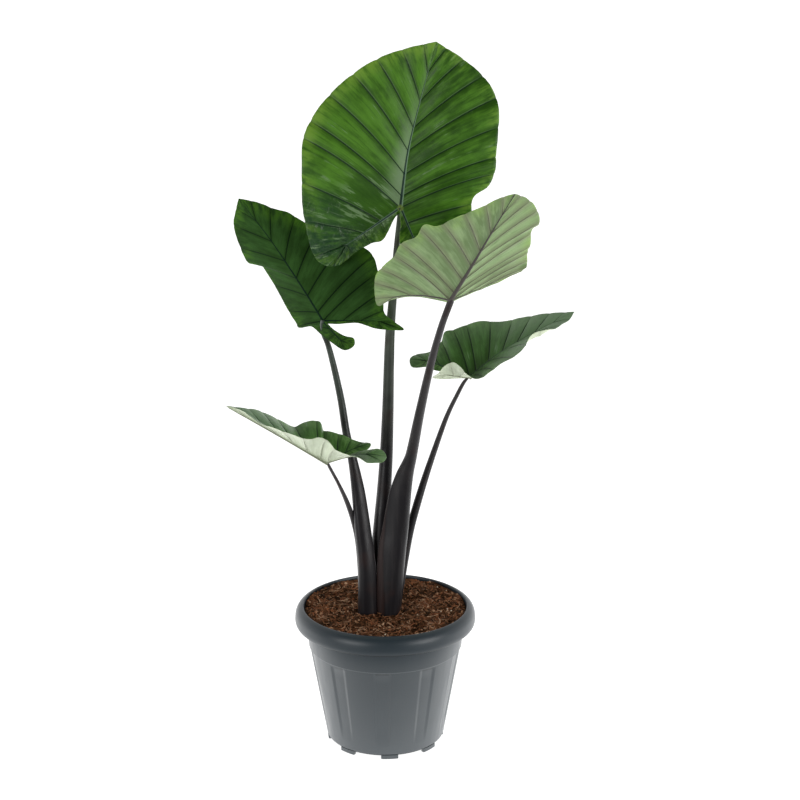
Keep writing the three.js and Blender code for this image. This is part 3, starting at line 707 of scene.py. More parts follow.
def stalk_tree():
    """Draws a level section round each point of a path, wider on the side of the sheath's wing. The
    front layer right of the flap's edge lies thicker over the one it wraps."""
    tree, given = node_group("GeometryNodeTree", "Sheathing stalk", {
        "Geometry": "Geometry", "Sides": "Int", "Wing thinning": "Float", "Flap thickness": "Float",
        "Material": "Material"})
    rail = out_of(tree, "GeometryNodeMeshToCurve", "Curve", {"Mesh": given["Geometry"]})
    position = out_of(tree, "GeometryNodeInputPosition", 0)
    centre = captured(tree, rail, "VECTOR", "centre", position)
    circle = out_of(tree, "GeometryNodeCurvePrimitiveCircle", "Curve", {
        "Resolution": given["Sides"], "Radius": 0.01})
    full_turn = out_of(tree, "GeometryNodeInputIndex", 0) * (2 * math.pi) / given["Sides"]
    turn = captured(tree, circle, "FLOAT", "turn", full_turn)
    tube = out_of(tree, "GeometryNodeCurveToMesh", "Mesh", {
        "Curve": centre["Geometry"], "Profile Curve": turn["Geometry"], "Fill Caps": True})
    cosine, sine = turn["turn"].math("COSINE"), turn["turn"].math("SINE")
    depth, left, right = (mesh_value(tree, name) for name in ("depth", "left", "right"))
    reach = mixed(tree, cosine.math("LESS_THAN"), right, left, "FLOAT")
    slender = (1.0 - depth / reach).math("MAXIMUM")
    thinning = slender * given["Wing thinning"] * cosine.math("ABSOLUTE").math("POWER", 2.0)
    past_edge = out_of(tree, "ShaderNodeMapRange", "Result", {
        "Value": cosine - mesh_value(tree, "flap"), "From Min": FLAP_STEP[0], "From Max": FLAP_STEP[1]})
    layer = past_edge * sine.math("LESS_THAN")
    folded = given["Flap thickness"] * (layer - 1.0)
    deep = depth * sine * (folded + 1.0 - thinning)
    place = centre["centre"].vector_math("ADD", vector(tree, reach * cosine, deep))
    smooth = tube.then("GeometryNodeSetPosition", {"Position": place}).then("GeometryNodeSetShadeSmooth")
    marked = smooth.then("GeometryNodeStoreNamedAttribute", {"Name": "layer", "Value": past_edge},
                         data_type="FLOAT")
    solid = marked.then("GeometryNodeRealizeInstances")
    dressed = solid.then("GeometryNodeSetMaterial", {"Material": given["Material"]})
    give_out(tree, {"Geometry": dressed}, "Geometry")
    return tree


def stalk_material(name, foot, upper, turn):
    """Waxy plant skin, streaked and mottled with brown, from the foot's colour to the upper part's,
    which starts at this share of the height. What a flap leaves open of the layer below it is browner."""
    material, tree, shader = new_material(name)
    cloud, grain = clouds(tree, 30.0, 1300.0)
    streak = upright_streaks(tree, 200.0, 12.0, 1.0, 4.0)
    wandering = stored(tree, "height") + (cloud - 0.5) * 0.35
    browned = layered(tree, foot, (
        (wandering.eased(turn, turn + 0.5), upper),
        (cloud.eased(0.5, 0.68, 0.0, 0.6), MOTTLE),
        (1.0 - stored(tree, "layer"), WRAPPED_TONE)))
    lighter = mixed(tree, 0.5, browned, STREAK_TONE)
    feed(shader, {
        "Base Color": mixed(tree, streak.eased(0.5, 0.8, 0.0, 0.5), browned, lighter),
        "Roughness": streak.eased(0.3, 0.7, 0.34, 0.46),
        "Specular IOR Level": 0.22,
        "Normal": bumped(tree, streak + grain * 0.25, 0.2, 0.0005)})
    return material


dark_skin = stalk_material("dark stalk skin", INK, (0.039, 0.036, 0.037, 1), 0.3)
greying_skins = {
    "top": stalk_material("greying stalk skin", INK, (0.064, 0.078, 0.06, 1), 0.3),
    "left": stalk_material("green stalk skin", INK, (0.045, 0.06, 0.047, 1), 0.45),
}
sheathing = stalk_tree()
for name, sections in STALKS.items():
    path = smoothed([section[:3] for section in sections], STALK_STEPS)
    sizes = smoothed([section[3:] for section in sections], STALK_STEPS) * MM
    rail = bpy.data.meshes.new(name)
    rail.from_pydata((path * MM).tolist(), [(k, k + 1) for k in range(len(path) - 1)], [])
    heights = path[:, 2]
    edge = np.interp(heights, *np.transpose(FLAP_EDGE))
    flapped = (heights <= FLAP_EDGE[-1][0]) & (name == "fore")
    for column, label in enumerate(("left", "right", "depth")):
        store(rail, label, sizes[:, column])
    store(rail, "height", np.clip((heights - SOIL_TOP) / (heights[0] - SOIL_TOP), 0, 1))
    store(rail, "flap", np.where(flapped, edge, NO_FLAP))
    stalk = linked(f"stalk_{name}", rail)
    grow(stalk, sheathing, {
        "Sides": STALK_SIDES, "Wing thinning": WING_THINNING, "Flap thickness": FLAP_THICKNESS,
        "Material": greying_skins.get(name, dark_skin)})
    turn_outwards(stalk.data)
    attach(stalk, "root")
    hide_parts(f"stem_{name}")

# Leaf blades
# Five shield-shaped blades, each grown round the top of its stalk. A midrib runs to the tip and a
# rib into each back lobe. Veins leave them at steady steps, sunken above and raised below, and the
# leathery blade is quilted between them and waves at its margin.

# Each leaf has a frame of its own, in millimetres: out from its joint, across to the left, and up.
# "heading", "rise" and "roll" turn it into place in degrees, and "base" is the joint's place. The
# midrib, the margins from the notch on and the end of each lobe's rib ("costa") are landmarks there.
# "lobe" and "basal" number the landmarks at a lobe's tip and where the midrib's first vein ends.
# "quilt" and "wave" swell the blade between veins and at its margin, which "notch" draws in at each
# vein. "groove" is a vein's depth. "arch" and "bow" lift and bend the veins by shares of their
# length, and "crook" lifts a lobe's rib. "calm" flattens a half and "fold" turns up a part of its
# margin. "crumpled" and "greened" are spots of the blade, and a third spot near the joint carries
# painted glints over painted shade.
LEAVES = {
    "top": {
        "base": [20, -8, 751], "heading": 31, "rise": 76, "roll": 60, "arch": 0.03, "bow": 0.04,
        "quilt": 2.6, "wave": 2.2, "notch": 0.6, "groove": 0.85, "midrib_width": [2.9, 0.7],
        "crumpled": {"centre": [-60, 85, -20], "radius": 62},
        "painted_light_spot": {"centre": [-2, 38, -7], "radius": 44},
        "midrib": [[0, -1, 0], [72, 4, -11], [138, 2, -15], [217, -2, -1]],
        "left": {
            "lobe": 5, "basal": 10, "costa": [-62, 58, -18],
            "margin": [
                [-7, -1, -3], [-13, 3, -2], [-46, 13, -10], [-52, 24, -13], [-62, 37, -18],
                [-95, 69, -30], [-89, 92, -24], [-61, 109, -12], [-26, 123, -2], [28, 135, 7],
                [62, 140, 5], [100, 130, 0], [142, 105, -3], [180, 68, -6], [203, 30, -7]]},
        "right": {
            "lobe": 4, "basal": 10, "costa": [-50, -37, -15],
            "margin": [
                [-7, -1, -3], [-18, -5, -1], [-45, -10, -8], [-66, -23, -16], [-71, -49, -23],
                [-57, -77, -21], [-24, -90, -11], [10, -93, -2], [33, -91, 1], [50, -106, -1],
                [68, -111, -1], [99, -107, 3], [149, -99, 5], [169, -89, 1], [185, -73, -1],
                [203, -41, -3]]}},
    "fore": {
        "base": [85, -70, 642], "heading": -24, "rise": 59, "roll": -59, "arch": 0.02, "bow": 0.03,
        "quilt": 1.8, "wave": 1.6, "notch": 0.6, "groove": 0.85, "midrib_width": [2.3, 0.5],
        "greened": {"centre": [72, 73, 29], "radius": 9},
        "midrib": [[0, 0, 0], [63, -1, -5], [121, -1, -3], [166, 0, 0]],
        "left": {
            "lobe": 4, "basal": 6, "costa": [36, 45, 27],
            "margin": [
                [-5, 3, 3], [5, 16, 13], [18, 37, 29], [36, 58, 39], [57, 72, 39], [72, 75, 29],
                [96, 62, 18], [111, 57, 12], [128, 48, 9], [141, 50, 5], [151, 45, 4], [164, 28, 2],
                [167, 14, 1]]},
        "right": {
            "lobe": 4, "basal": 7, "costa": [-44, -55, 38], "crook": 9,
            "margin": [
                [-5, 3, 3], [-19, -16, 22], [-35, -34, 40], [-54, -53, 48], [-67, -67, 41],
                [-49, -82, 37], [-26, -92, 36], [11, -86, 30], [32, -86, 29], [49, -75, 24],
                [69, -75, 22], [77, -62, 15], [99, -48, 11], [127, -29, 5], [155, -11, 1]]}},
    "left": {
        "base": [-82, 10, 596], "heading": 171, "rise": 55, "roll": -90, "arch": 0.03, "bow": 0.03,
        "quilt": 1.6, "wave": 1.5, "notch": 0.5, "groove": 0.5, "midrib_width": [1.6, 0.5],
        "midrib": [[0, 0, 0], [56, -1, -7], [127, -2, -9], [196, -1, -1]],
        "left": {
            "lobe": 4, "basal": 11, "costa": [-34, -7, 7], "calm": 0.12,
            "margin": [
                [-6, -4, 3], [-16, -7, 6], [-31, -15, 9], [-41, -24, 10], [-49, -19, 9],
                [-48, -4, 7], [-29, 7, 2], [-16, 14, -5], [1, 22, -15], [5, 32, -23], [7, 39, -27],
                [10, 43, -29], [15, 42, -31], [32, 43, -36], [65, 41, -43], [98, 40, -47],
                [107, 41, -48], [118, 52, -43], [132, 50, -38], [144, 45, -31], [172, 31, -19],
                [186, 14, -10]]},
        "right": {
            "lobe": 5, "basal": 10, "costa": [-40, -62, -2],
            "margin": [
                [-6, -4, 3], [-13, -13, 1], [-28, -39, 3], [-46, -54, 3], [-59, -70, 3],
                [-69, -85, 1], [-54, -80, -2], [-38, -74, -6], [-22, -81, -13], [-4, -87, -22],
                [11, -93, -29], [36, -98, -36], [60, -87, -38], [90, -67, -37], [118, -49, -32],
                [143, -39, -26], [157, -28, -22], [180, -14, -12]]}},
    "right": {
        "base": [116, 45, 510], "heading": -2, "rise": 33, "roll": 15, "arch": 0.02, "bow": 0.03,
        "quilt": 1.2, "wave": 0.8, "notch": 0.4, "groove": 0.55, "midrib_width": [1.5, 0.5],
        "midrib": [[-1, 0, 0], [52, 4, 5], [107, 3, 4], [167, 0, 1]],
        "left": {
            "lobe": 5, "basal": 10, "costa": [-42, 38, 36], "crook": 2,
            "margin": [
                [-6, 1, 1], [-19, 10, 14], [-38, 19, 28], [-44, 25, 34], [-63, 34, 42],
                [-61, 44, 49], [-52, 54, 45], [-36, 60, 35], [-15, 69, 34], [-3, 75, 41],
                [7, 76, 37], [44, 73, 28], [70, 61, 16], [98, 46, 12], [131, 26, 8], [152, 11, 4]]},
        "right": {
            "lobe": 3, "basal": 10, "costa": [-22, -16, 30],
            "fold": {"centre": [113, -33, 12], "reach": 24, "strip": 8, "lift": 9},
            "margin": [
                [-6, 1, 1], [-17, -5, 12], [-33, -12, 27], [-40, -16, 37], [-31, -23, 41],
                [-15, -30, 49], [-2, -37, 51], [4, -46, 42], [7, -53, 30], [13, -59, 23],
                [24, -61, 21], [52, -60, 23], [68, -56, 20], [83, -50, 18], [96, -41, 18],
                [127, -26, 7], [144, -17, 3], [156, -9, -1]]}},
    "low": {
        "base": [-76, -45, 416], "heading": -173, "rise": 32, "roll": 6, "arch": 0.02, "bow": 0.03,
        "quilt": 1.1, "wave": 0.8, "notch": 0.4, "groove": 0.5, "midrib_width": [1.5, 0.5],
        "midrib": [[0, 0, 0], [51, 2, 1], [102, 3, 1], [155, -1, 0]],
        "left": {
            "lobe": 7, "basal": 14, "costa": [-31, 35, 38], "crook": 3,
            "margin": [
                [-6, 0, 5], [-11, 5, 14], [-18, 12, 25], [-26, 19, 36], [-34, 25, 44],
                [-42, 33, 52], [-49, 40, 53], [-53, 48, 50], [-52, 55, 44], [-42, 61, 37],
                [-31, 63, 32], [-17, 64, 32], [-5, 65, 29], [5, 64, 27], [15, 63, 27], [31, 60, 32],
                [41, 60, 29], [48, 58, 22], [60, 53, 17], [89, 38, 10], [113, 24, 4], [131, 15, 6],
                [144, 6, 4]]},
        "right": {
            "lobe": 4, "basal": 8, "costa": [-24, -12, 32],
            "margin": [
                [-6, 0, 5], [-13, -1, 14], [-27, -4, 27], [-40, -6, 41], [-41, -9, 49],
                [-27, -22, 42], [-5, -33, 38], [9, -41, 33], [17, -45, 30], [27, -49, 37],
                [35, -50, 34], [45, -51, 24], [54, -49, 14], [80, -42, 13], [112, -25, 12],
                [137, -8, 6]]}},
}

# Sizes are in millimetres, and pairs hold at the start and at the end of a rib or vein. Veins start
# at shares of a rib's length, and rows and columns of the blade's grid lie close beside ribs and veins.
HALF_THICKNESS = [0.5, 0.3]
MIDRIB_DEPTH = [3.4, 0.8]
COSTA_DEPTH = [1.5, 0.8]
COSTA_WIDTH = [2.2, 0.8]
RIB_PER_LENGTH = 0.25
RIB_CREST = 0.16
VEIN_DEPTH = 1.2
VEIN_TAPER = 0.7
VEIN_WIDTH = 1.1
VEIN_SWEEP = 1.55
GROOVE_START = 4
FULL_RELIEF_LENGTH = 40
FRAY = 0.7
FRAY_SIZE = 9
PUCKER = 0.25
PUCKER_SIZE = 13
PUCKER_START = 8
CRUMPLED_PUCKER = 1.6
MIDRIB_VEINS = [0, 0.07, 0.2, 0.34, 0.48, 0.64, 0.81, 1]
COSTA_VEINS = [0, 0.36, 0.68, 1]
LOBE_INNER = 0.72
LOBE_OUTER = 0.84
CURVE_STEPS = 40
BESIDE = [0, 0.01, 0.022, 0.04, 0.065, 0.1, 0.15, 0.22, 0.3, 0.4, 0.5]
BETWEEN = np.array(BESIDE + [1 - share for share in BESIDE[-2:0:-1]])
NEAR_RIB = 5
NEAR_SHARE = 0.4
RIB_SHARE = 0.6
NEAR_ROWS = np.array([0, 0.1, 0.2, 0.32, 0.45, 0.6, 0.78])
FAR_ROWS = np.linspace(0, 1, 34)
WELDS_PER_MM = 500
HALF_APART = 37.0


def lengths_along(landmarks):
    """Lengths from the start of the curve through the landmarks, at steps along it."""
    steps = np.diff(smoothed(landmarks, CURVE_STEPS), axis=0)
    return np.concatenate([[0], np.cumsum(np.linalg.norm(steps, axis=1))])


def evenly(landmarks, shares):
    """Places at shares of the curve's whole length."""
    lengths = lengths_along(landmarks)
    where = np.interp(np.asarray(shares) * lengths[-1], lengths, np.linspace(0, 1, len(lengths)))
    return through(landmarks, where)


def share_at(landmarks, number):
    """The share of the whole length at one landmark."""
    lengths = lengths_along(landmarks)
    return lengths[CURVE_STEPS * number] / lengths[-1]


def stations(veins):
    """Places along a rib, close together beside each vein, and each place's vein number."""
    at = np.concatenate([low + BETWEEN * (high - low) for low, high in zip(veins, veins[1:])])
    number = np.concatenate([k + BETWEEN for k in range(len(veins) - 1)])
    return at, number


def between_ends(pair, at):
    return np.interp(at, [0, 1], pair)


def spokes(leaf, half):
    """Spokes of one half from the notch to the tip, as arrays: start, end, vein number, rib depth and
    width at the start, and bow. They go out along the lobe's rib, back, and up the midrib."""
    midrib, margin = leaf["midrib"], half["margin"] + [leaf["midrib"][-1]]
    lobe, basal = share_at(margin, half["lobe"]), share_at(margin, half["basal"])
    base, costa_end = np.array(midrib[0], float), np.array(half["costa"], float)
    costa_last, midrib_last = len(COSTA_VEINS) - 1, len(MIDRIB_VEINS) - 1
    out_at, out_number = stations(COSTA_VEINS)
    mid_at, mid_number = stations(MIDRIB_VEINS)
    mid_at, mid_number = np.append(mid_at, 1), np.append(mid_number, midrib_last)
    back_at = np.append(1, out_at[:0:-1])
    back_number = costa_last - np.append(costa_last, out_number[:0:-1])

    def costa(at):
        lift = half.get("crook", 0) * 4 * at * (1 - at)
        return base + at[:, None] * (costa_end - base) + lift[:, None] * np.array([0, 0, 1])

    inner, outer = lobe * LOBE_INNER, lobe + (basal - lobe) * (1 - LOBE_OUTER)
    fan = np.concatenate([inner + BETWEEN * (lobe - inner), lobe + BETWEEN * (outer - lobe)])
    fan_number = np.concatenate([BETWEEN, 1 + BETWEEN])
    fan_at = np.ones_like(fan)
    costa_at = np.concatenate([out_at, fan_at, back_at])
    starts = [costa(costa_at), evenly(midrib, mid_at)]
    ends = [inner * out_at, fan, lobe + (basal - lobe) * (1 - LOBE_OUTER * back_at),
            basal + (1 - basal) * (1 - (1 - mid_at)**VEIN_SWEEP)]
    firsts = np.cumsum([0, costa_last, 2, costa_last])
    parts = (out_number, fan_number, back_number, mid_number)
    numbers = [first + number for first, number in zip(firsts, parts)]
    depths = [between_ends(COSTA_DEPTH, costa_at), between_ends(MIDRIB_DEPTH, mid_at)]
    widths = [between_ends(COSTA_WIDTH, costa_at), between_ends(leaf["midrib_width"], mid_at)]
    bows = [np.zeros(len(out_at) + len(fan)), leaf["bow"] * (1 - back_at),
            np.full(len(mid_at), leaf["bow"])]
    start, number, depth, width, bow = map(np.concatenate, (starts, numbers, depths, widths, bows))
    return start, evenly(margin, np.concatenate(ends)), number, depth, width, bow


def half_sheet(leaf, half):
    """Grids over one half, columns by rows: its points, and for each its rise above and its depth
    below the plain sheet and its distances from the rib, the nearest vein and the margin."""
    start, end, number, rib_depth, rib_width, bow = spokes(leaf, half)
    between = (number % 1)[:, None]
    swell = 4 * between * (1 - between)
    reach = end - start
    length = np.maximum(np.linalg.norm(reach, axis=1), 1e-6)[:, None]
    relief = np.minimum(1, length / FULL_RELIEF_LENGTH)
    fray = np.array([FRAY * abs(noise.noise(Vector(place) / FRAY_SIZE)) for place in end])[:, None]
    calm = half.get("calm", 1)
    drawn_in = relief * (leaf["notch"] * (1 - swell)**3 + fray)
    reach = reach * (1 - drawn_in / length)
    length = length - drawn_in
    near = np.minimum(NEAR_RIB / length, NEAR_SHARE)
    v = np.concatenate([near * NEAR_ROWS, near + (1 - near) * FAR_ROWS], axis=1)
    hump = 4 * v * (1 - v) * length
    points = start[:, None] + v[..., None] * reach[:, None]
    points[..., 0] += bow[:, None] * hump
    points[..., 2] += leaf["arch"] * hump
    if "fold" in half:
        fold = half["fold"]
        away = np.linalg.norm(end - np.array(fold["centre"]), axis=1)[:, None] / fold["reach"]
        turned_up = np.clip(1 - (1 - v) * length / fold["strip"], 0, 1)
        points[..., 2] += fold["lift"] * np.clip(1 - away**2, 0, 1) * turned_up
    last = int(number[-1])
    vein_columns = [int(np.flatnonzero(np.isclose(number, k))[0]) for k in range(1, last)]
    nearest = np.array(vein_columns)[np.clip(np.round(number).astype(int), 1, last - 1) - 1]
    from_vein = np.linalg.norm(points - points[nearest], axis=2)
    quilt = leaf["quilt"] * 4 * v * (1 - v) + leaf["wave"] * v**3
    vein = np.exp(-((from_vein / VEIN_WIDTH)**2)) * relief * (1 - v)**VEIN_TAPER
    groove = leaf["groove"] * calm
    from_rib = v * length
    width = np.minimum(rib_width[:, None], RIB_SHARE * length)
    arc = np.sqrt(np.maximum(0, 1 - (from_rib / width)**2))
    rib = arc * np.minimum(rib_depth[:, None], RIB_PER_LENGTH * length)
    return {
        "points": points,
        "rise": calm * relief * swell * quilt,
        "above": RIB_CREST * rib - groove * vein * np.minimum(1, from_rib / GROOVE_START),
        "below": np.maximum(rib, VEIN_DEPTH * vein),
        "half_thickness": HALF_THICKNESS[0] + (HALF_THICKNESS[1] - HALF_THICKNESS[0]) * v,
        "outward": np.broadcast_to((reach / length)[:, None], points.shape),
        "from_vein": from_vein,
        "from_rib": from_rib / width,
        "rib_distance": from_rib,
        "from_margin": (1 - v) * length,
        "from_base": np.linalg.norm(points - np.array(leaf["midrib"][0]), axis=2),
        "vein_number": np.broadcast_to(number[:, None], v.shape),
        "spoke_share": v,
    }


def belonging(leaf, spot, places):
    """How far each place belongs to one marked spot of the leaf, from 0 to 1."""
    if spot not in leaf:
        return np.zeros(len(places))
    away = np.linalg.norm(places - np.array(leaf[spot]["centre"]), axis=1) / leaf[spot]["radius"]
    return np.exp(-away**4)


def puckered(leaf, places, rib_distance):
    """Height of the small puckers at each place, deeper where a lobe is crumpled."""
    swell = np.array([noise.noise(Vector(place) / PUCKER_SIZE) for place in places])
    depth = PUCKER + CRUMPLED_PUCKER * belonging(leaf, "crumpled", places)
    return depth * np.clip(rib_distance / PUCKER_START, 0, 1) * swell


def grid_quads(columns, rows, first, turned):
    """Corners of a grid's faces, counted from above for the left half and turned round for the right."""
    c, r = np.meshgrid(np.arange(columns - 1), np.arange(rows - 1), indexing="ij")
    a = first + (c * rows + r).ravel()
    quads = np.stack([a, a + rows, a + rows + 1, a + 1], axis=1)
    return quads[:, ::-1] if turned else quads


def sheet_normals(points, quads, weld, count):
    """Normals of the plain sheet at its welded points."""
    normals = np.zeros((count, 3))
    for corners in ((0, 1, 2), (0, 2, 3)):
        a, b, c = (points[quads[:, k]] for k in corners)
        area = np.cross(b - a, c - a)
        for k in corners:
            np.add.at(normals, weld[quads[:, k]], area)
    return normals / np.maximum(np.linalg.norm(normals, axis=1, keepdims=True), 1e-12)


def farthest(values, weld, count):
    """The highest and the lowest of the values that meet at each welded point, added up."""
    highest, lowest = np.zeros(count), np.zeros(count)
    np.maximum.at(highest, weld, np.maximum(values, 0))
    np.minimum.at(lowest, weld, np.minimum(values, 0))
    return highest + lowest


def turned_about(axis, angle):
    """A turn about one axis as a 3 by 3 matrix."""
    c, s = math.cos(angle), math.sin(angle)
    turns = {"X": [[1, 0, 0], [0, c, -s], [0, s, c]], "Y": [[c, 0, s], [0, 1, 0], [-s, 0, c]],
             "Z": [[c, -s, 0], [s, c, 0], [0, 0, 1]]}
    return np.array(turns[axis])


def closed_faces(quads, rim, weld, count):
    """Faces of the upper skin, the lower skin and the rounded rim between them, with the grid's corner
    that each face corner comes from, and each face's material."""
    faces, corners, slots = [], [], []

    def add_face(grid_corners, layers, slot):
        kept, used = [], []
        for corner, layer in zip(grid_corners, layers):
            vertex = int(weld[corner]) + layer * count
            if vertex not in kept:
                kept.append(vertex)
                used.append(int(corner))
        if len(kept) > 2:
            faces.append(kept)
            corners.extend(used)
            slots.append(slot)

    for quad in quads:
        add_face(quad, (0, 0, 0, 0), 0)
        add_face(quad[::-1], (1, 1, 1, 1), 1)
    for a, b in rim:
        add_face((a, b, b, a), (0, 0, 2, 2), 0)
        add_face((a, b, b, a), (2, 2, 1, 1), 1)
    return faces, corners, slots


def blade(name, leaf, materials):
    """The whole blade as one closed mesh: an upper skin, a lower skin with its ribs, and a rounded rim."""
    halves = [half_sheet(leaf, leaf["left"]), half_sheet(leaf, leaf["right"])]
    columns, rows = halves[0]["spoke_share"].shape
    cells = columns * rows
    whole = {key: np.concatenate([h[key].reshape(cells, -1) for h in halves]) for key in halves[0]}
    on_midrib = whole["vein_number"] >= halves[0]["vein_number"].max() - len(MIDRIB_VEINS) + 1
    whole["right_side"] = np.where(on_midrib, np.repeat([0, 1], cells)[:, None], 0.5)
    points = whole["points"]
    for spot in ("crumpled", "painted_light_spot", "greened"):
        whole[spot] = belonging(leaf, spot, points)[:, None]
    grid = np.round(points * WELDS_PER_MM).astype(int)
    _, first, weld = np.unique(grid, axis=0, return_index=True, return_inverse=True)
    weld, count = weld.ravel(), len(first)
    quads = np.concatenate([grid_quads(columns, rows, 0, False), grid_quads(columns, rows, cells, True)])
    normals = sheet_normals(points, quads, weld, count)
    rise, above, below, half_thickness = (
        farthest(whole[key][:, 0], weld, count) for key in ("rise", "above", "below", "half_thickness"))
    rise += puckered(leaf, points[first], whole["rib_distance"][first, 0])
    sheet = points[first] + normals * rise[:, None]
    upper = sheet + normals * (half_thickness + above)[:, None]
    lower = sheet - normals * (half_thickness + below)[:, None]
    edge = sheet + whole["outward"][first] * HALF_THICKNESS[1]
    rim = []
    for half, turned in ((0, False), (1, True)):
        line = half * cells + np.arange(columns) * rows + rows - 1
        rim += [(b, a) if turned else (a, b) for a, b in zip(line, line[1:])]
    faces, corners, slots = closed_faces(quads, rim, weld, count)
    heading, rise_angle, roll = (math.radians(leaf[key]) for key in ("heading", "rise", "roll"))
    turn = turned_about("Z", heading) @ turned_about("Y", -rise_angle) @ turned_about("X", roll)
    world = (np.concatenate([upper, lower, edge]) @ turn.T + leaf["base"]) * MM
    mesh = bpy.data.meshes.new(name)
    mesh.from_pydata(world.tolist(), [], faces)
    shade_smooth(mesh)
    mesh.polygons.foreach_set("material_index", slots)
    uv = np.stack([whole["vein_number"][corners, 0], whole["spoke_share"][corners, 0]], axis=1)
    mesh.uv_layers.new(name="veins").data.foreach_set("uv", uv.ravel())
    for label in ("from_vein", "from_rib", "from_margin", "from_base", "right_side", "crumpled",
                  "painted_light_spot", "greened"):
        store(mesh, label, whole[label][corners, 0], "CORNER")
    for material in materials:
        mesh.materials.append(material)
    mesh.validate()
    return linked(name, mesh)


def vein_group():
    """Shared effect: what the blade's own distances give at a point. Masks of the veins, the ribs, the
    margin and its zone, streaks and thin glints along the veins, and a net of small veins. Distances
    are in millimetres, and those from a rib are shares of its half width."""
    inputs = {"Vein half width": "Float", "Margin zone": "Float", "Streaks": "Float"}
    group, given = node_group("ShaderNodeTree", "Vein pattern", inputs)
    margin, vein, rib, from_base, right_side = (
        stored(group, name) for name in ("from_margin", "from_vein", "from_rib", "from_base", "right_side"))
    half_width, streaks = given["Vein half width"], given["Streaks"]
    fading = margin.eased(1.0, 22.0, 0.25, 1.0)
    veins_uv = out_of(group, "ShaderNodeUVMap", "UV", uv_map="veins")
    across = veins_uv.part("X").math("FRACT")
    place = veins_uv.vector_math("ADD", vector(group, right_side * HALF_APART))

    def drawn_out(many, along, shift):
        """Noise with many streaks from vein to vein, drawn out along the veins."""
        spread = place.vector_math("MULTIPLY", vector(group, many, along, shift))
        return noisy(group, spread.vector_math("ADD", (shift, shift, shift)), 1.0, 4.0, Roughness=0.6)

    net = out_of(group, "ShaderNodeTexVoronoi", "Distance", {
        "Vector": object_place(group), "Scale": 330.0}, feature="DISTANCE_TO_EDGE")
    band = vein.eased(0.7, 1.2) * vein.faded(1.3, 2.2)
    left_side = right_side.faded(0.0, 0.4)
    # Masks for painted light: highlights at the rib's and veins' edges, sheen beside the rib, glints.
    give_out(group, {
        "Vein": vein.faded(half_width, half_width * 2.2) * fading,
        "Vein edge": band * across.math("LESS_THAN", 0.5) * fading,
        "Beside vein": vein.faded(0.8, 8.0),
        "Rib": rib.faded(0.8, 1.1),
        "Rib edge": rib.eased(0.35, 0.6) * rib.faded(0.95, 1.25) * right_side,
        "Beside rib": rib.faded(0.9, 13.0) * left_side * from_base.eased(50.0, 150.0, 1.0, 0.2),
        "Margin": margin.faded(0.0, given["Margin zone"]),
        "Rim": margin.faded(0.5, 2.4),
        "Across": across,
        "Streak": drawn_out(streaks, 2.2, 0.0),
        "Fine line": drawn_out(streaks * 3.2, 2.6, 9.0).eased(0.5, 0.66),
        "Glint": drawn_out(streaks * 1.8, 1.7, 5.0).eased(0.56, 0.7),
        "Net": net.faded(0.0, 0.16),
        "Joint": from_base.faded(2.5, 5.5),
    })
    return group


vein_pattern = vein_group()


def patterned(tree, half_width, zone, streaks):
    """Outputs of the shared vein pattern, placed in a material."""
    inputs = {"Vein half width": half_width, "Margin zone": zone, "Streaks": streaks}
    return outputs_of(add_node(tree, "ShaderNodeGroup", inputs, node_tree=vein_pattern))


def painted_side_light(tree, patches, side_light_share):
    """Painted light: patches raised on a blade's left half and lowered on its right one."""
    return patches + (0.5 - stored(tree, "right_side")) * side_light_share


CRUMPLED_TONE = (0.014, 0.046, 0.017, 1)
# Colour of the painted highlight on the midrib's right edge.
RIB_SHINE = (0.2, 0.32, 0.2, 1)
JOINT_TONE = (0.16, 0.24, 0.03, 1)
GREENED_TONE = (0.06, 0.16, 0.012, 1)


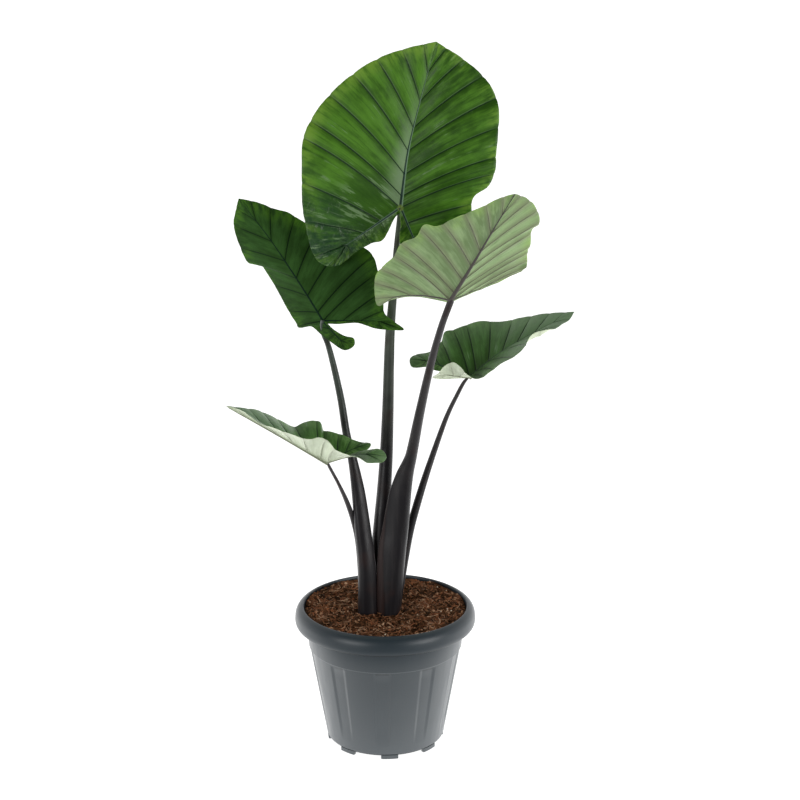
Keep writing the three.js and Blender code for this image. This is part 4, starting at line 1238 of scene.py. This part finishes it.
def upper_skin(name, side_light_share, glint, rib_light, joint, far, specular, roughness, **tones):
    """The blade's upper face: waxy green in soft streaks, dark along the veins and yellower at the
    rim, with painted glints. Painted sheen greys it away from the stalk by the share far. Painted
    shade darkens it beside the veins and in a spot near the joint, and painted light makes one half
    lighter than the other. It is darker and glossier where a lobe is crumpled. rib_light sets the
    painted highlights on the midrib's edge and the veins' edges and the painted sheen left of it."""
    material, tree, shader = new_material(name)
    cloud, grain = clouds(tree, 42.0, 420.0)
    mark = patterned(tree, 0.55, 26.0, 4.5)
    crumpled, painted_light_spot = stored(tree, "crumpled"), stored(tree, "painted_light_spot")
    # Painted light: one half of the blade is lighter than the other.
    patches = painted_side_light(tree, cloud * 0.75 + mark["Streak"] * 1.25, side_light_share)
    patchy = mark["Margin"] * patches.eased(0.85, 1.25)
    rimmed = mark["Rim"] * cloud.eased(0.42, 0.58, 0.0, 0.7)
    far_painted_sheen = stored(tree, "from_base").eased(35.0, 150.0, 0.0, far)
    glints = mark["Glint"] * cloud.eased(0.52, 0.66).math("MAXIMUM", crumpled)
    shining = glints.math("MAXIMUM", painted_light_spot * mark["Streak"].eased(0.53, 0.59))
    skin_colour = layered(tree, tones["deep"], (
        (patches.eased(0.6, 1.25), tones["light"]),
        # Painted shade in the grooves beside each vein.
        (mark["Beside vein"] * 0.65, tones["deep"]),
        (mark["Fine line"] * 0.45, tones["deep"]),
        (patchy.math("MAXIMUM", rimmed), tones["rim"]),
        (crumpled * patches.eased(0.8, 1.2, 0.95, 0.6), CRUMPLED_TONE),
        # Painted shade over the spot of painted light near the joint.
        (painted_light_spot * 0.6, tones["deep"]),
        # Painted sheen away from the stalk and on the midrib's left side.
        (far_painted_sheen.math("MAXIMUM", mark["Beside rib"] * rib_light), tones["sheen"]),
        # Painted glints along the veins and in the spot of painted light.
        (shining * glint, tones["sheen"]),
        (mark["Vein"] * 0.9, tones["vein"]),
        # Painted highlight on one edge of each vein.
        (mark["Vein edge"] * (0.3 * rib_light), tones["sheen"]),
        (mark["Rib"], tones["rib"]),
        # Painted highlight on the midrib's right edge.
        (mark["Rib edge"] * (0.8 * rib_light), RIB_SHINE),
        (mark["Joint"] * joint, JOINT_TONE)))
    satin = patches.eased(0.7, 1.3, roughness, roughness + 0.12)
    creases = bumped(tree, mark["Streak"] + mark["Net"] * -0.1 + grain * 0.2, 0.4, 0.0012)
    puckers = noisy(tree, object_place(tree), 130.0, 2.0)
    feed(shader, {
        "Base Color": skin_colour,
        "Roughness": mixed(tree, crumpled, satin, 0.32, "FLOAT"),
        "Specular IOR Level": specular,
        "Normal": bumped(tree, puckers * crumpled, 0.7, 0.004, Normal=creases)})
    return material


def under_skin(name, side_light_share, vein_strength, **tones):
    """The blade's under face: pale and matt, with painted shade that leaves it lighter past each vein
    and darker before the next, and painted light on one half. It is browner beside each vein, with
    thin brown veins and faint lines between them."""
    material, tree, shader = new_material(name)
    cloud, grain = clouds(tree, 40.0, 500.0)
    mark = patterned(tree, 0.45, 22.0, 7.0)
    streaky = cloud * 0.8 + mark["Streak"] * 1.2
    # Painted shade from vein to vein, and painted light on one half.
    patches = painted_side_light(tree, streaky + (0.5 - mark["Across"]) * 0.22, side_light_share)
    zone = mark["Margin"] * cloud.eased(0.45, 0.7, 0.05, 0.6)
    rimmed = mark["Rim"] * cloud.eased(0.42, 0.55, 0.1, 0.8)
    feed(shader, {
        "Base Color": layered(tree, tones["shadow"], (
            (patches.eased(0.7, 1.25), tones["pale"]),
            (mark["Net"] * 0.12, tones["shadow"]),
            (zone.math("MAXIMUM", rimmed), tones["rim"]),
            (stored(tree, "greened"), GREENED_TONE),
            (mark["Fine line"] * 0.3, tones["shadow"]),
            (mark["Beside vein"] * 0.55, tones["tint"]),
            (mark["Vein"] * vein_strength, tones["vein"]),
            (mark["Rib"], tones["rib"]))),
        "Roughness": 0.55,
        "Normal": bumped(tree, mark["Streak"] * 0.8 + grain * 0.3, 0.35, 0.001)})
    return material


bright_upper = upper_skin(
    "bright upper skin", side_light_share=0.2, glint=0.75, rib_light=1.0, joint=0.7, far=0.0, specular=0.22,
    roughness=0.4, deep=(0.018, 0.065, 0.003, 1), light=(0.074, 0.205, 0.014, 1),
    rim=(0.15, 0.29, 0.03, 1), sheen=(0.17, 0.27, 0.13, 1), vein=(0.006, 0.026, 0.008, 1),
    rib=(0.009, 0.033, 0.021, 1))
# Darker tones for the left blade, turned away from the light: painted shade.
dark_upper = upper_skin(
    "dark upper skin", side_light_share=-0.1, glint=0.4, rib_light=0.0, joint=0.0, far=0.0, specular=0.03,
    roughness=0.65, deep=(0.016, 0.045, 0.008, 1), light=(0.032, 0.086, 0.019, 1),
    rim=(0.06, 0.15, 0.015, 1), sheen=(0.06, 0.12, 0.05, 1), vein=(0.004, 0.014, 0.005, 1),
    rib=(0.006, 0.02, 0.01, 1))
middle_upper = upper_skin(
    "middle upper skin", side_light_share=0.0, glint=0.6, rib_light=0.0, joint=0.0, far=0.95, specular=0.14,
    roughness=0.4, deep=(0.026, 0.07, 0.01, 1), light=(0.058, 0.145, 0.032, 1),
    rim=(0.11, 0.22, 0.055, 1), sheen=(0.155, 0.24, 0.135, 1), vein=(0.007, 0.022, 0.007, 1),
    rib=(0.014, 0.04, 0.017, 1))
mottled_upper = upper_skin(
    "mottled upper skin", side_light_share=0.0, glint=0.9, rib_light=0.0, joint=0.0, far=0.8, specular=0.14,
    roughness=0.4, deep=(0.038, 0.105, 0.016, 1), light=(0.09, 0.21, 0.048, 1),
    rim=(0.13, 0.25, 0.07, 1), sheen=(0.21, 0.3, 0.2, 1), vein=(0.014, 0.04, 0.012, 1),
    rib=(0.014, 0.04, 0.017, 1))
sage_under = under_skin(
    "sage under skin", side_light_share=0.25, vein_strength=0.7, pale=(0.285, 0.41, 0.19, 1),
    shadow=(0.145, 0.23, 0.085, 1), rim=(0.27, 0.45, 0.09, 1), vein=(0.062, 0.057, 0.04, 1),
    rib=(0.05, 0.042, 0.036, 1), tint=(0.19, 0.2, 0.12, 1))
pale_under = under_skin(
    "pale under skin", side_light_share=0.0, vein_strength=0.5, pale=(0.57, 0.64, 0.475, 1),
    shadow=(0.43, 0.5, 0.345, 1), rim=(0.43, 0.5, 0.3, 1), vein=(0.17, 0.19, 0.12, 1),
    rib=(0.17, 0.19, 0.12, 1), tint=(0.4, 0.45, 0.32, 1))
SKINS = {
    "top": (bright_upper, sage_under), "fore": (bright_upper, sage_under),
    "left": (dark_upper, sage_under), "right": (middle_upper, pale_under),
    "low": (mottled_upper, pale_under)}
for name, leaf in LEAVES.items():
    grown = blade(f"blade_{name}", leaf, SKINS[name])
    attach(grown, "root")
    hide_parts(f"leaf_{name}")

# Studio
# A wide white floor and a bright backdrop behind the plant, a dim room on the viewer's side that
# keeps the stalks and the collar dark, a soft lamp at each side in front, and a camera a little
# above the leaves that looks down on the pot.

# Sizes are in metres and powers in watts. The floor's glow goes by depth, from the front to the back.
FLOOR_SIZE = 160
FLOOR_GLOW = [0.12, 0.95, 2.2]
FLOOR_GLOW_DEPTHS = [-0.8, -0.28, 0.05]
FLOOR_SEEN_GLOW = 0.93
PLANT_MIDDLE = (0, 0, 0.5)
SOFTBOXES = {"right softbox": ((1.9, -1.5, 0.8), 35), "left softbox": ((-1.6, -1.8, 0.8), 27)}
SOFTBOX_SIZE = 1.1
CAMERA_PLACE = (0.0205, -2.3, 1.13)
CAMERA_TILT = 15.56
LENS = 80


def floor_material():
    """Paper white to the camera. What it throws on the plant is bright behind and dim in front."""
    material, tree, shader = new_material("white floor")
    depth = object_place(tree).part("Y")
    far, near, back = FLOOR_GLOW_DEPTHS
    dim, bright, glaring = FLOOR_GLOW
    graded = depth.eased(far, near, dim, bright) + depth.eased(near, back, 0.0, glaring - bright)
    seen = out_of(tree, "ShaderNodeLightPath", "Is Camera Ray")
    feed(shader, {
        "Emission Strength": mixed(tree, seen, graded, FLOOR_SEEN_GLOW, "FLOAT"),
        "Base Color": mixed(tree, seen, (0.12, 0.12, 0.12, 1), (0.5, 0.5, 0.5, 1)),
        "Emission Color": (1, 1, 1, 1),
        "Specular IOR Level": 0,
        "Roughness": 1})
    return material


def studio_floor():
    half = FLOOR_SIZE / 2
    mesh = bpy.data.meshes.new("studio_floor")
    corners = [(-half, -half, 0), (half, -half, 0), (half, half, 0), (-half, half, 0)]
    mesh.from_pydata(corners, [], [(0, 1, 2, 3)])
    mesh.materials.append(floor_material())
    return linked("studio_floor", mesh)


def softbox(name, place, power):
    """A square soft lamp that looks at the plant's middle."""
    lamp = bpy.data.lights.new(name, "AREA")
    lamp.shape = "SQUARE"
    lamp.size = SOFTBOX_SIZE
    lamp.energy = power
    made = linked(name, lamp)
    made.location = place
    made.rotation_euler = (Vector(place) - Vector(PLANT_MIDDLE)).to_track_quat("Z", "Y").to_euler()


def surrounding():
    """Light from all round: bright behind the plant, dim above and on the viewer's side."""
    world = bpy.data.worlds.new("pale surrounding")
    world.use_nodes = True
    tree = world.node_tree
    direction = out_of(tree, "ShaderNodeTexCoord", "Generated")
    behind = direction.part("Y").eased(-0.4, 0.35, 0.2, 1.5)
    above = direction.part("Z").eased(0.15, 0.85, 1.0, 0.4)
    seen = out_of(tree, "ShaderNodeLightPath", "Is Camera Ray")
    shown = mixed(tree, seen, behind * above, 1.0, "FLOAT")
    feed(tree.nodes["Background"], {"Color": shown, "Strength": 1.0})
    return world


studio_floor()
for name, (place, power) in SOFTBOXES.items():
    softbox(name, place, power)
bpy.context.scene.world = surrounding()
bpy.context.scene.view_settings.view_transform = "Standard"

camera = linked("camera", bpy.data.cameras.new("camera"))
camera.data.lens = LENS
camera.location = CAMERA_PLACE
camera.rotation_euler = (math.radians(90 - CAMERA_TILT), 0, 0)
bpy.context.scene.camera = camera
